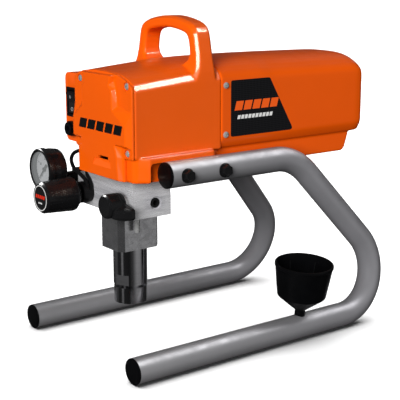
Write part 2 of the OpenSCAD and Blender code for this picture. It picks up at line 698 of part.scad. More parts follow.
module packing_nut() stationed() color(steel) translate([0, pump_y, 0]) difference() {
    union() {
        bar_z(0, 0, 208, belly_z, throat_r);
        bar_z(0, 0, belly_z, 230, 17);
    }
    bar_z(0, 0, 207, 231, rod_r + 0.4);
}

module piston_rod() stationed() color(bright) translate([0, pump_y, 0]) difference() {
    union() {
        bar_z(0, 0, 102, 118, bore_r - 0.5);
        bar_z(0, 0, 117, yoke_bottom, rod_r);
        bar_z(0, 0, yoke_bottom - 1, yoke_bottom + 9, 6);
    }
    bar_z(0, 0, 101, 110, outlet_seat_r);
    bar_z(0, 0, outlet_seat_z, 121, 6);
    rotate([0, 0, 45]) bar_x(0, 119.5, -14, 14, 2.5);
    difference() {
        bar_z(0, 0, 109, 114, 14);
        bar_z(0, 0, 108, 115, 11);
    }
}

module piston_seals() stationed() color([0.85, 0.82, 0.74]) translate([0, pump_y, 0]) difference() {
    bar_z(0, 0, 109, 114, bore_r - 0.01);
    bar_z(0, 0, 108, 115, 11);
}

module outlet_ball() stationed() color(bright) translate([0, pump_y, outlet_ball_z]) sphere(outlet_ball_r);

// ---------- drive ----------

// frame that the crank's roller turns in; its window leaves room for every crank angle
module drive_yoke() stationed() color(steel) difference() {
    union() {
        along_y(yoke_y[0], yoke_y[1]) difference() {
            translate([-window_hw - 8, yoke_bottom]) square([2 * window_hw + 16, 2 * window_hh + 17]);
            translate([-window_hw, crank_z - window_hh]) square([2 * window_hw, 2 * window_hh]);
        }
        bar_z(0, pump_y, yoke_bottom, yoke_bottom + 5, 11);
    }
    bar_z(0, pump_y, yoke_bottom - 1, yoke_bottom + 9.5, 6);
}

module crankshaft() stationed() color(steel) {
    bar_y(0, crank_z, 90, 124, crank_r);
    bar_y(0, crank_z, 84, 91, 21);
    bar_y(crank_throw, crank_z, 68, 84.5, 5);
}

module crank_roller() stationed() color(bright) translate([crank_throw, 0, 0]) difference() {
    bar_y(0, crank_z, 69, 83, roller_r);
    bar_y(0, crank_z, 68, 84, 5);
}

module crank_bearing() stationed() color(bright) difference() {
    bar_y(0, crank_z, bulk_front + 1, bulk_back - 1, throat_r);
    bar_y(0, crank_z, bulk_front, bulk_back, crank_r + running);
}

crank_phase = atan2(idler_dz, idler_x);
module crank_gear() stationed() color(steel) translate([0, 0, crank_z]) along_y(crank_gear_y[0], crank_gear_y[1])
    difference() {
        rotate(crank_phase + 180 / crank_teeth) spur(crank_teeth);
        circle(crank_r);
    }

module idler_pin() stationed() color(steel) bar_y(idler_x, idler_z, bulk_back - 8, plate_back, shaft_r);

// the idler's two gears: small one with the crank gear, large one with the motor pinion
motor_line = atan2(motor_z - idler_z, -idler_x);
module idler_gear() stationed() color(steel) translate([idler_x, 0, idler_z]) {
    along_y(crank_gear_y[0] - 0.5, idler_gear_y[0]) difference() {
        rotate(crank_phase + 180) spur(pinion_teeth);
        circle(shaft_r + running);
    }
    along_y(idler_gear_y[0], idler_gear_y[1]) difference() {
        rotate(motor_line) spur(idler_teeth);
        circle(shaft_r + running);
    }
}

module motor_plate() stationed() color(bright) difference() {
    along_y(plate_front, plate_back) translate([-61, 261]) square([122, 76]);
    bar_y(0, motor_z, plate_front + 1, plate_back + 1, 11);
    bar_y(0, motor_z, plate_front - 1, plate_back, 7);
    bar_y(idler_x, idler_z, plate_front - 1, plate_back + 1, shaft_r);
    for (x = [-post_x, post_x], z = post_zs) bar_y(x, z, plate_front - 1, plate_back + 1, 2.2);
}

module motor_case() stationed() color(steel) difference() {
    bar_y(0, motor_z, plate_back, bell_back, motor_r);
    bar_y(0, motor_z, plate_back - 1, motor_back, motor_r - 3);
    bar_y(0, motor_z, motor_back - 1, bell_back - 1, 11);
    bar_y(0, motor_z, bell_back - 2, bell_back + 1, 7);
}

module motor_magnets() stationed() color([0.2, 0.2, 0.22]) for (start = [-50, 130])
    translate([0, 275, motor_z]) rotate([90, 0, 0]) rotate([0, 0, start])
        rotate_extrude(angle = 100) translate([motor_r - 7.5, 0]) square([4.5, 110]);

module motor_bearings() stationed() color(bright) for (y = [plate_front + 1.2, motor_back + 0.5]) difference() {
    bar_y(0, motor_z, y, y + 8, 11);
    bar_y(0, motor_z, y - 1, y + 9, shaft_r + running);
}

module motor_brushes() stationed() color([0.15, 0.15, 0.16]) for (side = [0, 180])
    translate([0, 0, motor_z]) rotate([0, side, 0]) along_x(14.2, motor_r - 3.15) translate([276.5, -3.5]) square([7, 7]);

module motor_shaft() stationed() color(bright) bar_y(0, motor_z, 122, 322, shaft_r);

module armature() stationed() color(copper) difference() {
    union() {
        bar_y(0, motor_z, 165, 262, motor_r - 8.5);
        bar_y(0, motor_z, 261, 284, 14);
    }
    bar_y(0, motor_z, 164, 285, shaft_r);
}

module motor_pinion() stationed() color(steel) translate([0, 0, motor_z]) along_y(123, 133) difference() {
    rotate(motor_line + 180 + 180 / pinion_teeth) spur(pinion_teeth);
    circle(shaft_r);
}

fan_blades = 9;
module cooling_fan() stationed() color(black) translate([0, 0, motor_z]) difference() {
    union() {
        bar_y(0, 0, fan_y[0], fan_y[1], 9);
        bar_y(0, 0, fan_y[0], fan_y[0] + 2, 40);
        along_y(fan_y[0], fan_y[1]) for (k = [0 : fan_blades - 1]) rotate(360 / fan_blades * k)
            translate([6, -0.8]) square([34, 1.6]);
    }
    bar_y(0, 0, fan_y[0] - 1, fan_y[1] + 1, shaft_r);
}

module control_board() stationed() color([0.1, 0.35, 0.2]) {
    along_y(board_y, board_y + 2) translate([-48, 250]) square([96, 84]);
    for (x = [-26, 0, 26]) bar_y(x, 272, 327, board_y + 0.5, 11);
    along_y(334, board_y + 0.5) translate([-30, 292]) square([60, 30]);
}

// ---------- drip cup ----------

module drip_cup() stationed() color(black) cup_placed() difference() {
    rotate_extrude() polygon([[0, -9], [cup_spigot_r, -9], [cup_spigot_r, cup_cone_z], [cup_wall_r, cup_wall_z],
        [cup_rim_r - 1, cup_h - 2.5], [cup_rim_r, cup_h - 2.5], [cup_rim_r, cup_h], [0, cup_h]]);
    rotate_extrude() polygon([[0, cup_cone_z + 3], [4.5, cup_cone_z + 3], [cup_wall_r - 2.4, cup_wall_z + 1],
        [cup_rim_r - 3, cup_h + 0.1], [0, cup_h + 0.1]]);
}

side_frame(1);  // right_side_frame
side_frame(-1);  // left_side_frame
tube_end_caps();
frame_bolts();
drive_housing();
front_cover();
rear_cover();
cover_screws();
side_labels();
switch_box();
switch_body();
switch_rocker();
cord_gland();
manifold();
manifold_bolts();
manifold_plug();
drain_valve_body();
drain_valve_handle();
drain_outlet();
hose_outlet();
filter_element();
filter_cap();
pressure_switch();
pressure_spindle();
pressure_knob();
gauge_adapter();
gauge_case();
gauge_dial();
gauge_needle();
gauge_lens();
control_cable();
sensor_cable();
pump_block();
pump_cylinder();
inlet_valve_body();
inlet_seat();
inlet_ball();
throat_packings();
packing_nut();
piston_rod();
piston_seals();
outlet_ball();
drive_yoke();
crankshaft();
crank_roller();
crank_bearing();
crank_gear();
idler_pin();
idler_gear();
motor_plate();
motor_case();
motor_magnets();
motor_bearings();
motor_brushes();
motor_shaft();
armature();
motor_pinion();
cooling_fan();
control_board();
drip_cup();
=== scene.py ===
import math

import bmesh
import bpy
from mathutils import Matrix, Vector


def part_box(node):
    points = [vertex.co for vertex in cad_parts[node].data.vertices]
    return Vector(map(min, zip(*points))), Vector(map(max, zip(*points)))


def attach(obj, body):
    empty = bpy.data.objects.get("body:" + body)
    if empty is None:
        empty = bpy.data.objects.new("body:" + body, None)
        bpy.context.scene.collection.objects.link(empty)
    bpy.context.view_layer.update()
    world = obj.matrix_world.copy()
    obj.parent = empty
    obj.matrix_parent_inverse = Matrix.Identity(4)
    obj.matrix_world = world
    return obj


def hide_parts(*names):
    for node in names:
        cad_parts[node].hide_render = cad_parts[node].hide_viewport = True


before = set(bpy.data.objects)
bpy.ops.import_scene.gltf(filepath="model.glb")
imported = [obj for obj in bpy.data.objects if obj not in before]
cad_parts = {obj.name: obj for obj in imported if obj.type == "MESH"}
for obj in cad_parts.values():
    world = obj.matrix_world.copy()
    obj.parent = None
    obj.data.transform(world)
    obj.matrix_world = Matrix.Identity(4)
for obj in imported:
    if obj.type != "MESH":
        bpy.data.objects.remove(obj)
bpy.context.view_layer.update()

# ---------- places ----------
# A station is a place measured as part of the machine: x from its middle, y back from the feet's front
# tips, z up from the floor, in millimetres. The drive housing is centred on x = 0 and ends at y = 168.
HOUSING_LOW, HOUSING_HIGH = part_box("drive_housing")
ORIGIN = Vector(((HOUSING_LOW.x + HOUSING_HIGH.x) / 2, HOUSING_HIGH.y - 0.168, 0.0))


def place(x, y, z):
    """A station in the row frame, in metres."""
    return ORIGIN + Vector((x, y, z)) / 1000


# ---------- camera ----------
CAMERA_AZIMUTH, CAMERA_ELEVATION = math.radians(53.0), math.radians(12.93)
camera = bpy.data.objects.new("camera", bpy.data.cameras.new("camera"))
camera.data.lens = 93.54
camera.data.sensor_width = 36
camera.location = place(1063.2, -614.7, 476.8)
look = Vector((-math.sin(CAMERA_AZIMUTH) * math.cos(CAMERA_ELEVATION),
               math.cos(CAMERA_AZIMUTH) * math.cos(CAMERA_ELEVATION), -math.sin(CAMERA_ELEVATION)))
camera.rotation_euler = look.to_track_quat("-Z", "Y").to_euler()
camera.data.clip_end = 50
bpy.context.scene.collection.objects.link(camera)
bpy.context.scene.camera = camera
bpy.context.scene.view_settings.view_transform = "Standard"


# ---------- materials ----------
def srgb(r, g, b):
    """Linear colour from 0-255 screen values."""
    return tuple(((v / 255 + 0.055) / 1.055) ** 2.4 if v > 10 else v / 255 / 12.92
                 for v in (r, g, b)) + (1.0,)


def toned(color, factor, lift=0.0):
    """The colour made darker or lighter."""
    return tuple(min(1, c * factor + lift) for c in color[:3]) + (1,)


class Shader:
    """A Principled material with its nodes at hand."""

    def __init__(self, name, base, rough, metal=0.0, coat=0.0, coat_rough=0.1, specular=0.5):
        self.mat = bpy.data.materials.new(name)
        self.mat.use_nodes = True
        self.tree = self.mat.node_tree
        self.bsdf = self.tree.nodes["Principled BSDF"]
        self.base = base
        self.rough = rough
        sockets = self.bsdf.inputs
        sockets["Base Color"].default_value = base
        sockets["Roughness"].default_value = rough
        sockets["Metallic"].default_value = metal
        sockets["Coat Weight"].default_value = coat
        sockets["Coat Roughness"].default_value = coat_rough
        sockets["Specular IOR Level"].default_value = specular
        self.mat.diffuse_color = base
        coords = self.node("ShaderNodeTexCoord")
        self.coords = coords.outputs["Object"]
        self.height = None

    def node(self, kind, **values):
        n = self.tree.nodes.new(kind)
        for key, value in values.items():
            setattr(n, key, value)
        return n

    def link(self, a, b):
        self.tree.links.new(a, b)

    def noise(self, scale, detail=3.0, stretch=(1, 1, 1), rough=0.55):
        """Noise in metres; a smaller stretch makes it longer along that axis."""
        mapping = self.node("ShaderNodeMapping")
        mapping.inputs["Scale"].default_value = stretch
        self.link(self.coords, mapping.inputs["Vector"])
        n = self.node("ShaderNodeTexNoise")
        n.inputs["Scale"].default_value = scale
        n.inputs["Detail"].default_value = detail
        n.inputs["Roughness"].default_value = rough
        self.link(mapping.outputs["Vector"], n.inputs["Vector"])
        return n.outputs["Fac"]

    def ramp(self, source, low, high, a=0.35, b=0.65):
        """Takes source from a..b to low..high."""
        n = self.node("ShaderNodeMapRange")
        n.inputs["From Min"].default_value = a
        n.inputs["From Max"].default_value = b
        n.inputs["To Min"].default_value = low
        n.inputs["To Max"].default_value = high
        self.link(source, n.inputs["Value"])
        return n.outputs["Result"]

    def tint(self, source, other, low=0.35, high=0.65, amount=1.0):
        """Mixes the base colour towards another where source is high."""
        fac = self.ramp(source, 0.0, amount, low, high)
        mix = self.node("ShaderNodeMix", data_type="RGBA")
        self.link(fac, mix.inputs["Factor"])
        socket = self.bsdf.inputs["Base Color"]
        if socket.is_linked:
            self.link(socket.links[0].from_socket, mix.inputs["A"])
        else:
            mix.inputs["A"].default_value = self.base
        mix.inputs["B"].default_value = other
        self.link(mix.outputs["Result"], socket)

    def vary_rough(self, source, spread):
        """Lets the roughness wander by spread to both sides of its value."""
        self.link(self.ramp(source, self.rough - spread, self.rough + spread), self.bsdf.inputs["Roughness"])

    def bump(self, source, strength, depth):
        """Adds a fine relief on top of any earlier one."""
        n = self.node("ShaderNodeBump")
        n.inputs["Strength"].default_value = strength
        n.inputs["Distance"].default_value = depth
        self.link(source, n.inputs["Height"])
        if self.height is not None:
            self.link(self.height, n.inputs["Normal"])
        self.link(n.outputs["Normal"], self.bsdf.inputs["Normal"])
        self.height = n.outputs["Normal"]

    def edges(self, other, amount=0.5, low=0.53, high=0.6):
        """Wear or dust along outer edges."""
        geometry = self.node("ShaderNodeNewGeometry")
        self.tint(geometry.outputs["Pointiness"], other, low, high, amount)


def orange_paint(name, base):
    """Glossy coat over paint with a slight orange peel and paler worn edges."""
    s = Shader(name, base, 0.34, coat=0.2, coat_rough=0.05, specular=0.12)
    s.tint(s.noise(7, 3), toned(base, 0.86), 0.3, 0.75, 0.7)
    s.edges(toned(base, 1.25, 0.02), 0.35)
    s.vary_rough(s.noise(45, 4), 0.05)
    s.bump(s.noise(650, 2), 0.10, 0.0002)
    return s.mat


def silver_paint(name):
    s = Shader(name, srgb(164, 163, 167), 0.46, metal=0.6, coat=0.05, coat_rough=0.3)
    s.tint(s.noise(9, 3), srgb(150, 149, 153), 0.35, 0.7, 0.7)
    s.tint(s.noise(2600, 1), srgb(172, 172, 176), 0.55, 0.75, 0.35)
    s.edges(srgb(195, 195, 195), 0.3)
    s.vary_rough(s.noise(60, 4), 0.06)
    s.bump(s.noise(1400, 2), 0.08, 0.0001)
    return s.mat


def black_plastic(name, value=5, rough=0.42, grain=0.16):
    """Moulded black plastic or rubber with a fine grain; value is its screen brightness."""
    s = Shader(name, srgb(value, value, value + 1), rough, specular=0.22)
    s.tint(s.noise(25, 4), srgb(value + 7, value + 7, value + 8), 0.4, 0.75, 0.6)
    s.edges(srgb(value + 24, value + 24, value + 25), 0.3)
    s.vary_rough(s.noise(90, 4), 0.08)
    s.bump(s.noise(2200, 2), grain, 0.00012)
    return s.mat


def brushed(name, base, rough, stretch, dark, strength=0.16, metal=1.0):
    """Metal with fine streaks along the axes where stretch is smallest."""
    s = Shader(name, base, rough, metal=metal)
    streaks = s.noise(180, 4, stretch, 0.7)
    s.tint(streaks, dark, 0.4, 0.75, 0.55)
    s.tint(s.noise(45, 3, stretch, 0.6), dark, 0.4, 0.7, 0.6)
    s.vary_rough(streaks, rough * 0.25)
    s.bump(streaks, strength, 0.0002)
    s.edges(toned(base, 1.2), 0.4)
    return s.mat


def plain_metal(name, base, rough, metal=1.0):
    s = Shader(name, base, rough, metal=metal)
    s.tint(s.noise(40, 4), toned(base, 0.72), 0.4, 0.8, 0.6)
    s.vary_rough(s.noise(120, 4), 0.07)
    s.bump(s.noise(900, 3), 0.06, 0.0001)
    return s.mat


def plain_solid(name, base, rough, grain=0.08):
    s = Shader(name, base, rough)
    s.tint(s.noise(60, 4), toned(base, 0.8), 0.4, 0.8, 0.6)
    s.vary_rough(s.noise(120, 3), 0.06)
    s.bump(s.noise(1500, 2), grain, 0.0001)
    return s.mat


def grey_casting(name):
    s = Shader(name, srgb(238, 237, 240), 0.24, metal=0.96)
    s.tint(s.noise(30, 5), srgb(205, 204, 208), 0.4, 0.7, 0.8)
    s.tint(s.noise(240, 3), srgb(228, 228, 230), 0.5, 0.75, 0.5)
    s.edges(srgb(150, 151, 153), 0.4)
    s.vary_rough(s.noise(150, 4), 0.1)
    s.bump(s.noise(520, 4), 0.3, 0.0003)
    return s.mat


def label_foil(name):
    """Black foil with a fine staggered dot pattern."""
    s = Shader(name, srgb(7, 7, 8), 0.36, specular=0.06)
    voronoi = s.node("ShaderNodeTexVoronoi")
    voronoi.inputs["Scale"].default_value = 420
    voronoi.inputs["Randomness"].default_value = 0.0
    s.link(s.coords, voronoi.inputs["Vector"])
    s.tint(voronoi.outputs["Distance"], srgb(30, 30, 32), 0.32, 0.5, 0.8)
    s.vary_rough(s.noise(200, 2), 0.05)
    return s.mat


def clear_lens(name):
    s = Shader(name, (0.9, 0.94, 0.95, 1), 0.04, specular=0.6)
    s.bsdf.inputs["Alpha"].default_value = 0.10
    s.vary_rough(s.noise(50, 3), 0.02)
    return s.mat


ORANGE = orange_paint("orange_paint", srgb(233, 89, 5))
SHELL = orange_paint("orange_shell", srgb(230, 86, 5))
SILVER = silver_paint("silver_paint")
BLACK = black_plastic("black_plastic")
BLACK_GLOSS = black_plastic("black_moulding", 17, 0.27, 0.04)
BLACK_STEEL = black_plastic("black_steel", 15, 0.34, 0.1)
RUBBER = black_plastic("cable_rubber", 13, 0.4, 0.1)
LABEL = label_foil("label_foil")
ALUMINIUM = brushed("brushed_aluminium", srgb(240, 239, 243), 0.3, (0.4, 0.4, 7), srgb(150, 149, 154),
                    metal=0.55)
TURNED = brushed("turned_steel", srgb(200, 199, 202), 0.15, (0.5, 0.5, 16), srgb(165, 165, 169),
                 strength=0.03)
CASTING = grey_casting("grey_steel")
PLATED = plain_metal("plated_steel", srgb(212, 212, 211), 0.26, metal=0.65)
CHROME = plain_metal("hard_chrome", srgb(214, 214, 216), 0.12)
BRASS = plain_metal("brass_fitting", srgb(206, 168, 92), 0.26)
COPPER = plain_metal("copper_winding", srgb(196, 112, 62), 0.34)
PALE = plain_solid("pale_plastic", srgb(226, 218, 196), 0.5)
DIAL = plain_solid("dial_face", srgb(148, 148, 150), 0.55, 0.02)
WHITE = plain_solid("white_print", srgb(228, 228, 226), 0.5, 0.02)
RED = plain_solid("red_print", srgb(206, 44, 24), 0.45, 0.02)
CARBON = plain_solid("carbon", srgb(46, 46, 48), 0.6)
BOARD = plain_solid("circuit_board", srgb(26, 92, 58), 0.45)
LENS = clear_lens("clear_lens")

# ---------- what each CAD node wears: material and edge rounding in millimetres ----------
CAD_LOOKS = {
    "right_side_frame": (SILVER, 0), "left_side_frame": (SILVER, 0), "tube_end_caps": (BLACK, 0.8),
    "frame_bolts": (BLACK_STEEL, 0.4), "drive_housing": (ORANGE, 2.2), "front_cover": (ORANGE, 0.8),
    "rear_cover": (SHELL, 2.0), "cover_screws": (PLATED, 0.3), "side_labels": (LABEL, 0),
    "switch_box": (SHELL, 1.5), "switch_body": (BLACK, 0.5), "switch_rocker": (BLACK_GLOSS, 0.4),
    "cord_gland": (BLACK, 0.5), "manifold": (ALUMINIUM, 0.5), "manifold_bolts": (PLATED, 0.3),
    "manifold_plug": (BLACK_STEEL, 0.3), "drain_valve_body": (PLATED, 0.3),
    "drain_valve_handle": (BLACK_GLOSS, 0.8), "drain_outlet": (PLATED, 0.2), "hose_outlet": (BRASS, 0.3),
    "filter_element": (PLATED, 0), "filter_cap": (PLATED, 0.5), "pressure_switch": (BLACK, 0.6),
    "pressure_spindle": (PLATED, 0), "pressure_knob": (BLACK_GLOSS, 0.8), "gauge_adapter": (BLACK_STEEL, 0.6),
    "gauge_case": (BLACK_GLOSS, 0.8), "gauge_dial": (DIAL, 0), "gauge_needle": (BLACK, 0),
    "gauge_lens": (LENS, 0), "control_cable": (RUBBER, 0), "sensor_cable": (RUBBER, 0),
    "pump_block": (CASTING, 0.7), "pump_cylinder": (TURNED, 0.8), "inlet_valve_body": (TURNED, 0.8),
    "inlet_seat": (TURNED, 0.2), "inlet_ball": (CHROME, 0), "throat_packings": (PALE, 0),
    "packing_nut": (TURNED, 0.4), "piston_rod": (CHROME, 0.2), "piston_seals": (PALE, 0),
    "outlet_ball": (CHROME, 0), "drive_yoke": (TURNED, 0.6), "crankshaft": (TURNED, 0.3),
    "crank_roller": (CHROME, 0.2), "crank_bearing": (CHROME, 0.2), "crank_gear": (TURNED, 0),
    "idler_pin": (CHROME, 0.2), "idler_gear": (TURNED, 0), "motor_plate": (ALUMINIUM, 0.5),
    "motor_case": (BLACK_STEEL, 0.6), "motor_magnets": (CARBON, 0.3), "motor_bearings": (CHROME, 0.2),
    "motor_brushes": (CARBON, 0.2), "motor_shaft": (CHROME, 0.2), "armature": (COPPER, 0.5),
    "motor_pinion": (TURNED, 0), "cooling_fan": (BLACK, 0), "control_board": (BOARD, 0.2),
    "drip_cup": (BLACK, 0.4),
}


FLAT_WITHIN, EDGE_FROM = math.radians(0.6), math.radians(32)


def round_edges(obj, width):
    """Merges the facets of flat faces and rounds the edges between them, as modifiers."""
    flat = obj.modifiers.new("flat", "DECIMATE")
    flat.decimate_type = "DISSOLVE"
    flat.angle_limit = FLAT_WITHIN
    bevel = obj.modifiers.new("edges", "BEVEL")
    bevel.width = width / 1000
    bevel.segments = 2
    bevel.limit_method = "ANGLE"
    bevel.angle_limit = EDGE_FROM
    bevel.harden_normals = True
    bevel.miter_outer = "MITER_ARC"


def smooth(obj, angle=35):
    """Shades smoothly across edges below the angle."""
    mesh = obj.data
    mesh.polygons.foreach_set("use_smooth", [True] * len(mesh.polygons))
    mesh.set_sharp_from_angle(angle=math.radians(angle))


for name, (material, width) in CAD_LOOKS.items():
    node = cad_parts[name]
    node.data.materials.clear()
    node.data.materials.append(material)
    smooth(node)
    if width:
        round_edges(node, width)


# ---------- mesh helpers ----------
def add_object(name, bm_or_data, material, body=None, stands_for=(), angle=35):
    """Links a mesh as a piece that rides on a body, stands for CAD nodes and wears a material slot."""
    if isinstance(bm_or_data, bmesh.types.BMesh):
        bmesh.ops.recalc_face_normals(bm_or_data, faces=bm_or_data.faces)
        mesh = bpy.data.meshes.new(name)
        bm_or_data.to_mesh(mesh)
        bm_or_data.free()
    else:
        mesh = bm_or_data
        mesh.name = name
    obj = bpy.data.objects.new(name, mesh)
    bpy.context.scene.collection.objects.link(obj)
    mesh.materials.clear()
    mesh.materials.append(material)
    smooth(obj, angle)
    if body:
        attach(obj, body)
    if stands_for:
        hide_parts(*stands_for)
    return obj


def rings_into(bm, rings, closed_path=False):
    """Skins closed rings that have the same number of points, and caps the ends unless the path is closed."""
    made = [[bm.verts.new(p) for p in ring] for ring in rings]
    count = len(rings[0])
    spans = range(len(made)) if closed_path else range(len(made) - 1)
    for i in spans:
        a, b = made[i], made[(i + 1) % len(made)]
        for k in range(count):
            bm.faces.new((a[k], a[(k + 1) % count], b[(k + 1) % count], b[k]))
    if not closed_path:
        bm.faces.new(list(reversed(made[0])))
        bm.faces.new(made[-1])


def loft(rings, closed_path=False):
    bm = bmesh.new()
    rings_into(bm, rings, closed_path)
    return bm


def frame_along(axis):
    """Rotation that takes +Z to axis."""
    return Vector(axis).normalized().to_track_quat("Z", "Y").to_matrix()


def lathe_into(bm, profile, origin, axis, sides=64, shape=None):
    """Turns a profile of (radius, distance along the axis) in mm about an axis; radius 0 closes an end.
    shape(angle, radius, distance) may change the radius."""
    turn = frame_along(axis)
    rings = []
    for radius, along in profile:
        ring = []
        for k in range(sides):
            angle = 2 * math.pi * k / sides
            r = shape(angle, radius, along) if shape and radius > 0.01 else max(radius, 0.0)
            ring.append(origin + turn @ Vector((r * math.cos(angle), r * math.sin(angle), along)) / 1000)
        rings.append(ring)
    closed = profile[0][0] > 0.01 and profile[-1][0] > 0.01
    before = set(bm.verts)
    rings_into(bm, rings, closed_path=closed)
    if not closed:
        bmesh.ops.remove_doubles(bm, verts=[v for v in bm.verts if v not in before], dist=1e-6)


def rounded(profile, radius, steps=4, closed=False):
    """Rounds a polyline's corners; each point is (a, b) or (a, b, its own radius)."""
    out = []
    count = len(profile)
    for i, point in enumerate(profile):
        own = point[2] if len(point) > 2 else radius
        here = Vector(point[:2])
        if own <= 0 or (not closed and i in (0, count - 1)):
            out.append(tuple(here))
            continue
        back, ahead = Vector(profile[i - 1][:2]) - here, Vector(profile[(i + 1) % count][:2]) - here
        if back.length < 1e-6 or ahead.length < 1e-6:
            out.append(tuple(here))
            continue
        angle = back.angle(ahead)
        if angle > math.radians(176):
            out.append(tuple(here))
            continue
        cut = min(own / math.tan(angle / 2), back.length * 0.48, ahead.length * 0.48)
        a, b = here + back.normalized() * cut, here + ahead.normalized() * cut
        for s in range(steps + 1):
            t = s / steps
            out.append(tuple(a * (1 - t) ** 2 + here * 2 * t * (1 - t) + b * t ** 2))
    return out


def prism_into(bm, outline, y0, y1):
    """Outline of (x, z) in mm pushed from station y0 to y1."""
    rings_into(bm, [[place(x, y, z) for x, z in outline] for y in (y0, y1)])


def baked(obj):
    """The object's mesh with its modifiers applied; the object is removed."""
    graph = bpy.context.evaluated_depsgraph_get()
    mesh = bpy.data.meshes.new_from_object(obj.evaluated_get(graph))
    bpy.data.objects.remove(obj)
    return mesh


def temp(bm):
    return add_object("temp", bm, ORANGE)


def cut_away(obj, *cutters):
    """Cuts closed meshes out of an object and gives the new mesh."""
    for i, cutter in enumerate(cutters):
        mod = obj.modifiers.new("cut%d" % i, "BOOLEAN")
        mod.operation = "DIFFERENCE"
        mod.solver = "EXACT"
        mod.object = cutter
    mesh = baked(obj)
    for cutter in cutters:
        bpy.data.objects.remove(cutter)
    return mesh


def fused(bm, voxel, rounds):
    """One skin over overlapping solids, with soft fillets where they meet."""
    obj = temp(bm)
    remesh = obj.modifiers.new("skin", "REMESH")
    remesh.mode = "VOXEL"
    remesh.voxel_size = voxel / 1000
    soften = obj.modifiers.new("soften", "SMOOTH")
    soften.factor = 0.5
    soften.iterations = rounds
    return baked(obj)


def cylinder_into(bm, x, z, y0, y1, r, sides=48):
    lathe_into(bm, [(0, 0), (r, 0), (r, y1 - y0), (0, y1 - y0)], place(x, y0, z), (0, 1, 0), sides)


def box_into(bm, low, high):
    x0, y0, z0 = low
    x1, y1, z1 = high
    prism_into(bm, [(x0, z0), (x1, z0), (x1, z1), (x0, z1)], y0, y1)


# ---------- stand ----------
# Each side is one bent tube in a plane that leans inwards: a foot on the floor, a wide rear bend, a straight
# strut, a top bend and a rail that carries the housing.
TUBE_R, TUBE_WALL = 16.0, 2.0
FOOT_X, RAIL_X, RAIL_Z = 120.5, 81.7, 231.0
FOOT_END, REAR_R, TOP_R, STRUT = 333.0, 60.0, 66.0, 49.2
LEAN = math.atan2(FOOT_X - RAIL_X, RAIL_Z - TUBE_R)
LOOP_H = math.hypot(FOOT_X - RAIL_X, RAIL_Z - TUBE_R)
TURN = 180 - STRUT
RAIL_FRONT = 75.0
REAR_STEPS, TOP_STEPS = 36, 16
TUBE_SIDES = 56


def on_arc(y, v, r, degrees):
    """A point of the bend about (y, v), with its outward angle."""
    return y + r * math.cos(math.radians(degrees)), v + r * math.sin(math.radians(degrees)), degrees


def loop_path():
    """The tube's middle line as (y, height in its leaning plane, angle of its outward side)."""
    path = [(0.0, 0.0, -90.0), (FOOT_END - 6, 0.0, -90.0)]
    path += [on_arc(FOOT_END, REAR_R, REAR_R, -90 + TURN * i / REAR_STEPS) for i in range(REAR_STEPS + 1)]
    top_v = LOOP_H - TOP_R
    reach = (top_v + TOP_R * math.sin(math.radians(TURN - 90)) - path[-1][1]) / math.sin(math.radians(TURN))
    bend_y = path[-1][0] + reach * math.cos(math.radians(TURN))
    back_y = bend_y - TOP_R * math.cos(math.radians(TURN - 90))
    path += [on_arc(back_y, top_v, TOP_R, TURN - 90 + STRUT * i / TOP_STEPS) for i in range(TOP_STEPS + 1)]
    path += [(back_y - 6, LOOP_H, 90.0), (RAIL_FRONT, LOOP_H, 90.0)]
    return path


def side_frame(side, name, node):
    """One bent tube, hollow, with the hole for the drip cup in the near one."""
    across = Vector((math.cos(LEAN), 0, side * math.sin(LEAN)))
    up = Vector((-side * math.sin(LEAN), 0, math.cos(LEAN)))
    base = Vector((side * FOOT_X, 0, TUBE_R))

    def ring(y, v, a, r):
        outward = Vector((0, math.cos(math.radians(a)), 0)) + up * math.sin(math.radians(a))
        middle = base + Vector((0, y, 0)) + up * v
        return [place(*(middle + across * r * math.cos(t) + outward * r * math.sin(t)))
                for t in (2 * math.pi * k / TUBE_SIDES for k in range(TUBE_SIDES))]

    path = loop_path()
    rings = [ring(*p, TUBE_R) for p in path] + [ring(*p, TUBE_R - TUBE_WALL) for p in reversed(path)]
    obj = temp(loft(rings, closed_path=True))
    if side > 0:
        hole = bmesh.new()
        lathe_into(hole, [(0, -14), (7.1, -14), (7.1, 4), (0, 4)], CUP_BASE, CUP_AXIS, 48)
        mesh = cut_away(obj, temp(hole))
    else:
        mesh = baked(obj)
    add_object(name, mesh, SILVER, "chassis", [node], 35)


# the near foot's hole holds the drip cup, which leans outwards a little
CUP_LEAN = math.radians(5.5)
CUP_AXIS = Vector((math.sin(CUP_LEAN), 0, math.cos(CUP_LEAN)))
CUP_BASE = place(FOOT_X, 257, 32)
side_frame(1, "near_tube", "right_side_frame")
side_frame(-1, "far_tube", "left_side_frame")

caps = bmesh.new()
CAP_PROFILE = rounded([(0, -2.4), (12, -2.3), (15.9, -1.6, 1.2), (15.9, 0, 0), (13.8, 0, 0), (13.8, 14, 1),
                       (0, 14)], 0.8)
for side in (-1, 1):
    lathe_into(caps, CAP_PROFILE, place(side * FOOT_X, 0, TUBE_R), (0, 1, 0), 56)
    lathe_into(caps, CAP_PROFILE, place(side * RAIL_X, RAIL_FRONT, RAIL_Z), (0, 1, 0), 56)
add_object("end_caps", caps, BLACK, "chassis", ["tube_end_caps"], 40)


def hexagonal(across_flats, starts_at):
    """Radius rule for a hexagon above a round flange; the profile turns off the hexagon's corners."""
    def rule(angle, radius, along):
        if along < starts_at:
            return radius
        corner = math.radians(((math.degrees(angle) + 30) % 60) - 30)
        return min(across_flats / 2 / math.cos(corner), radius)
    return rule


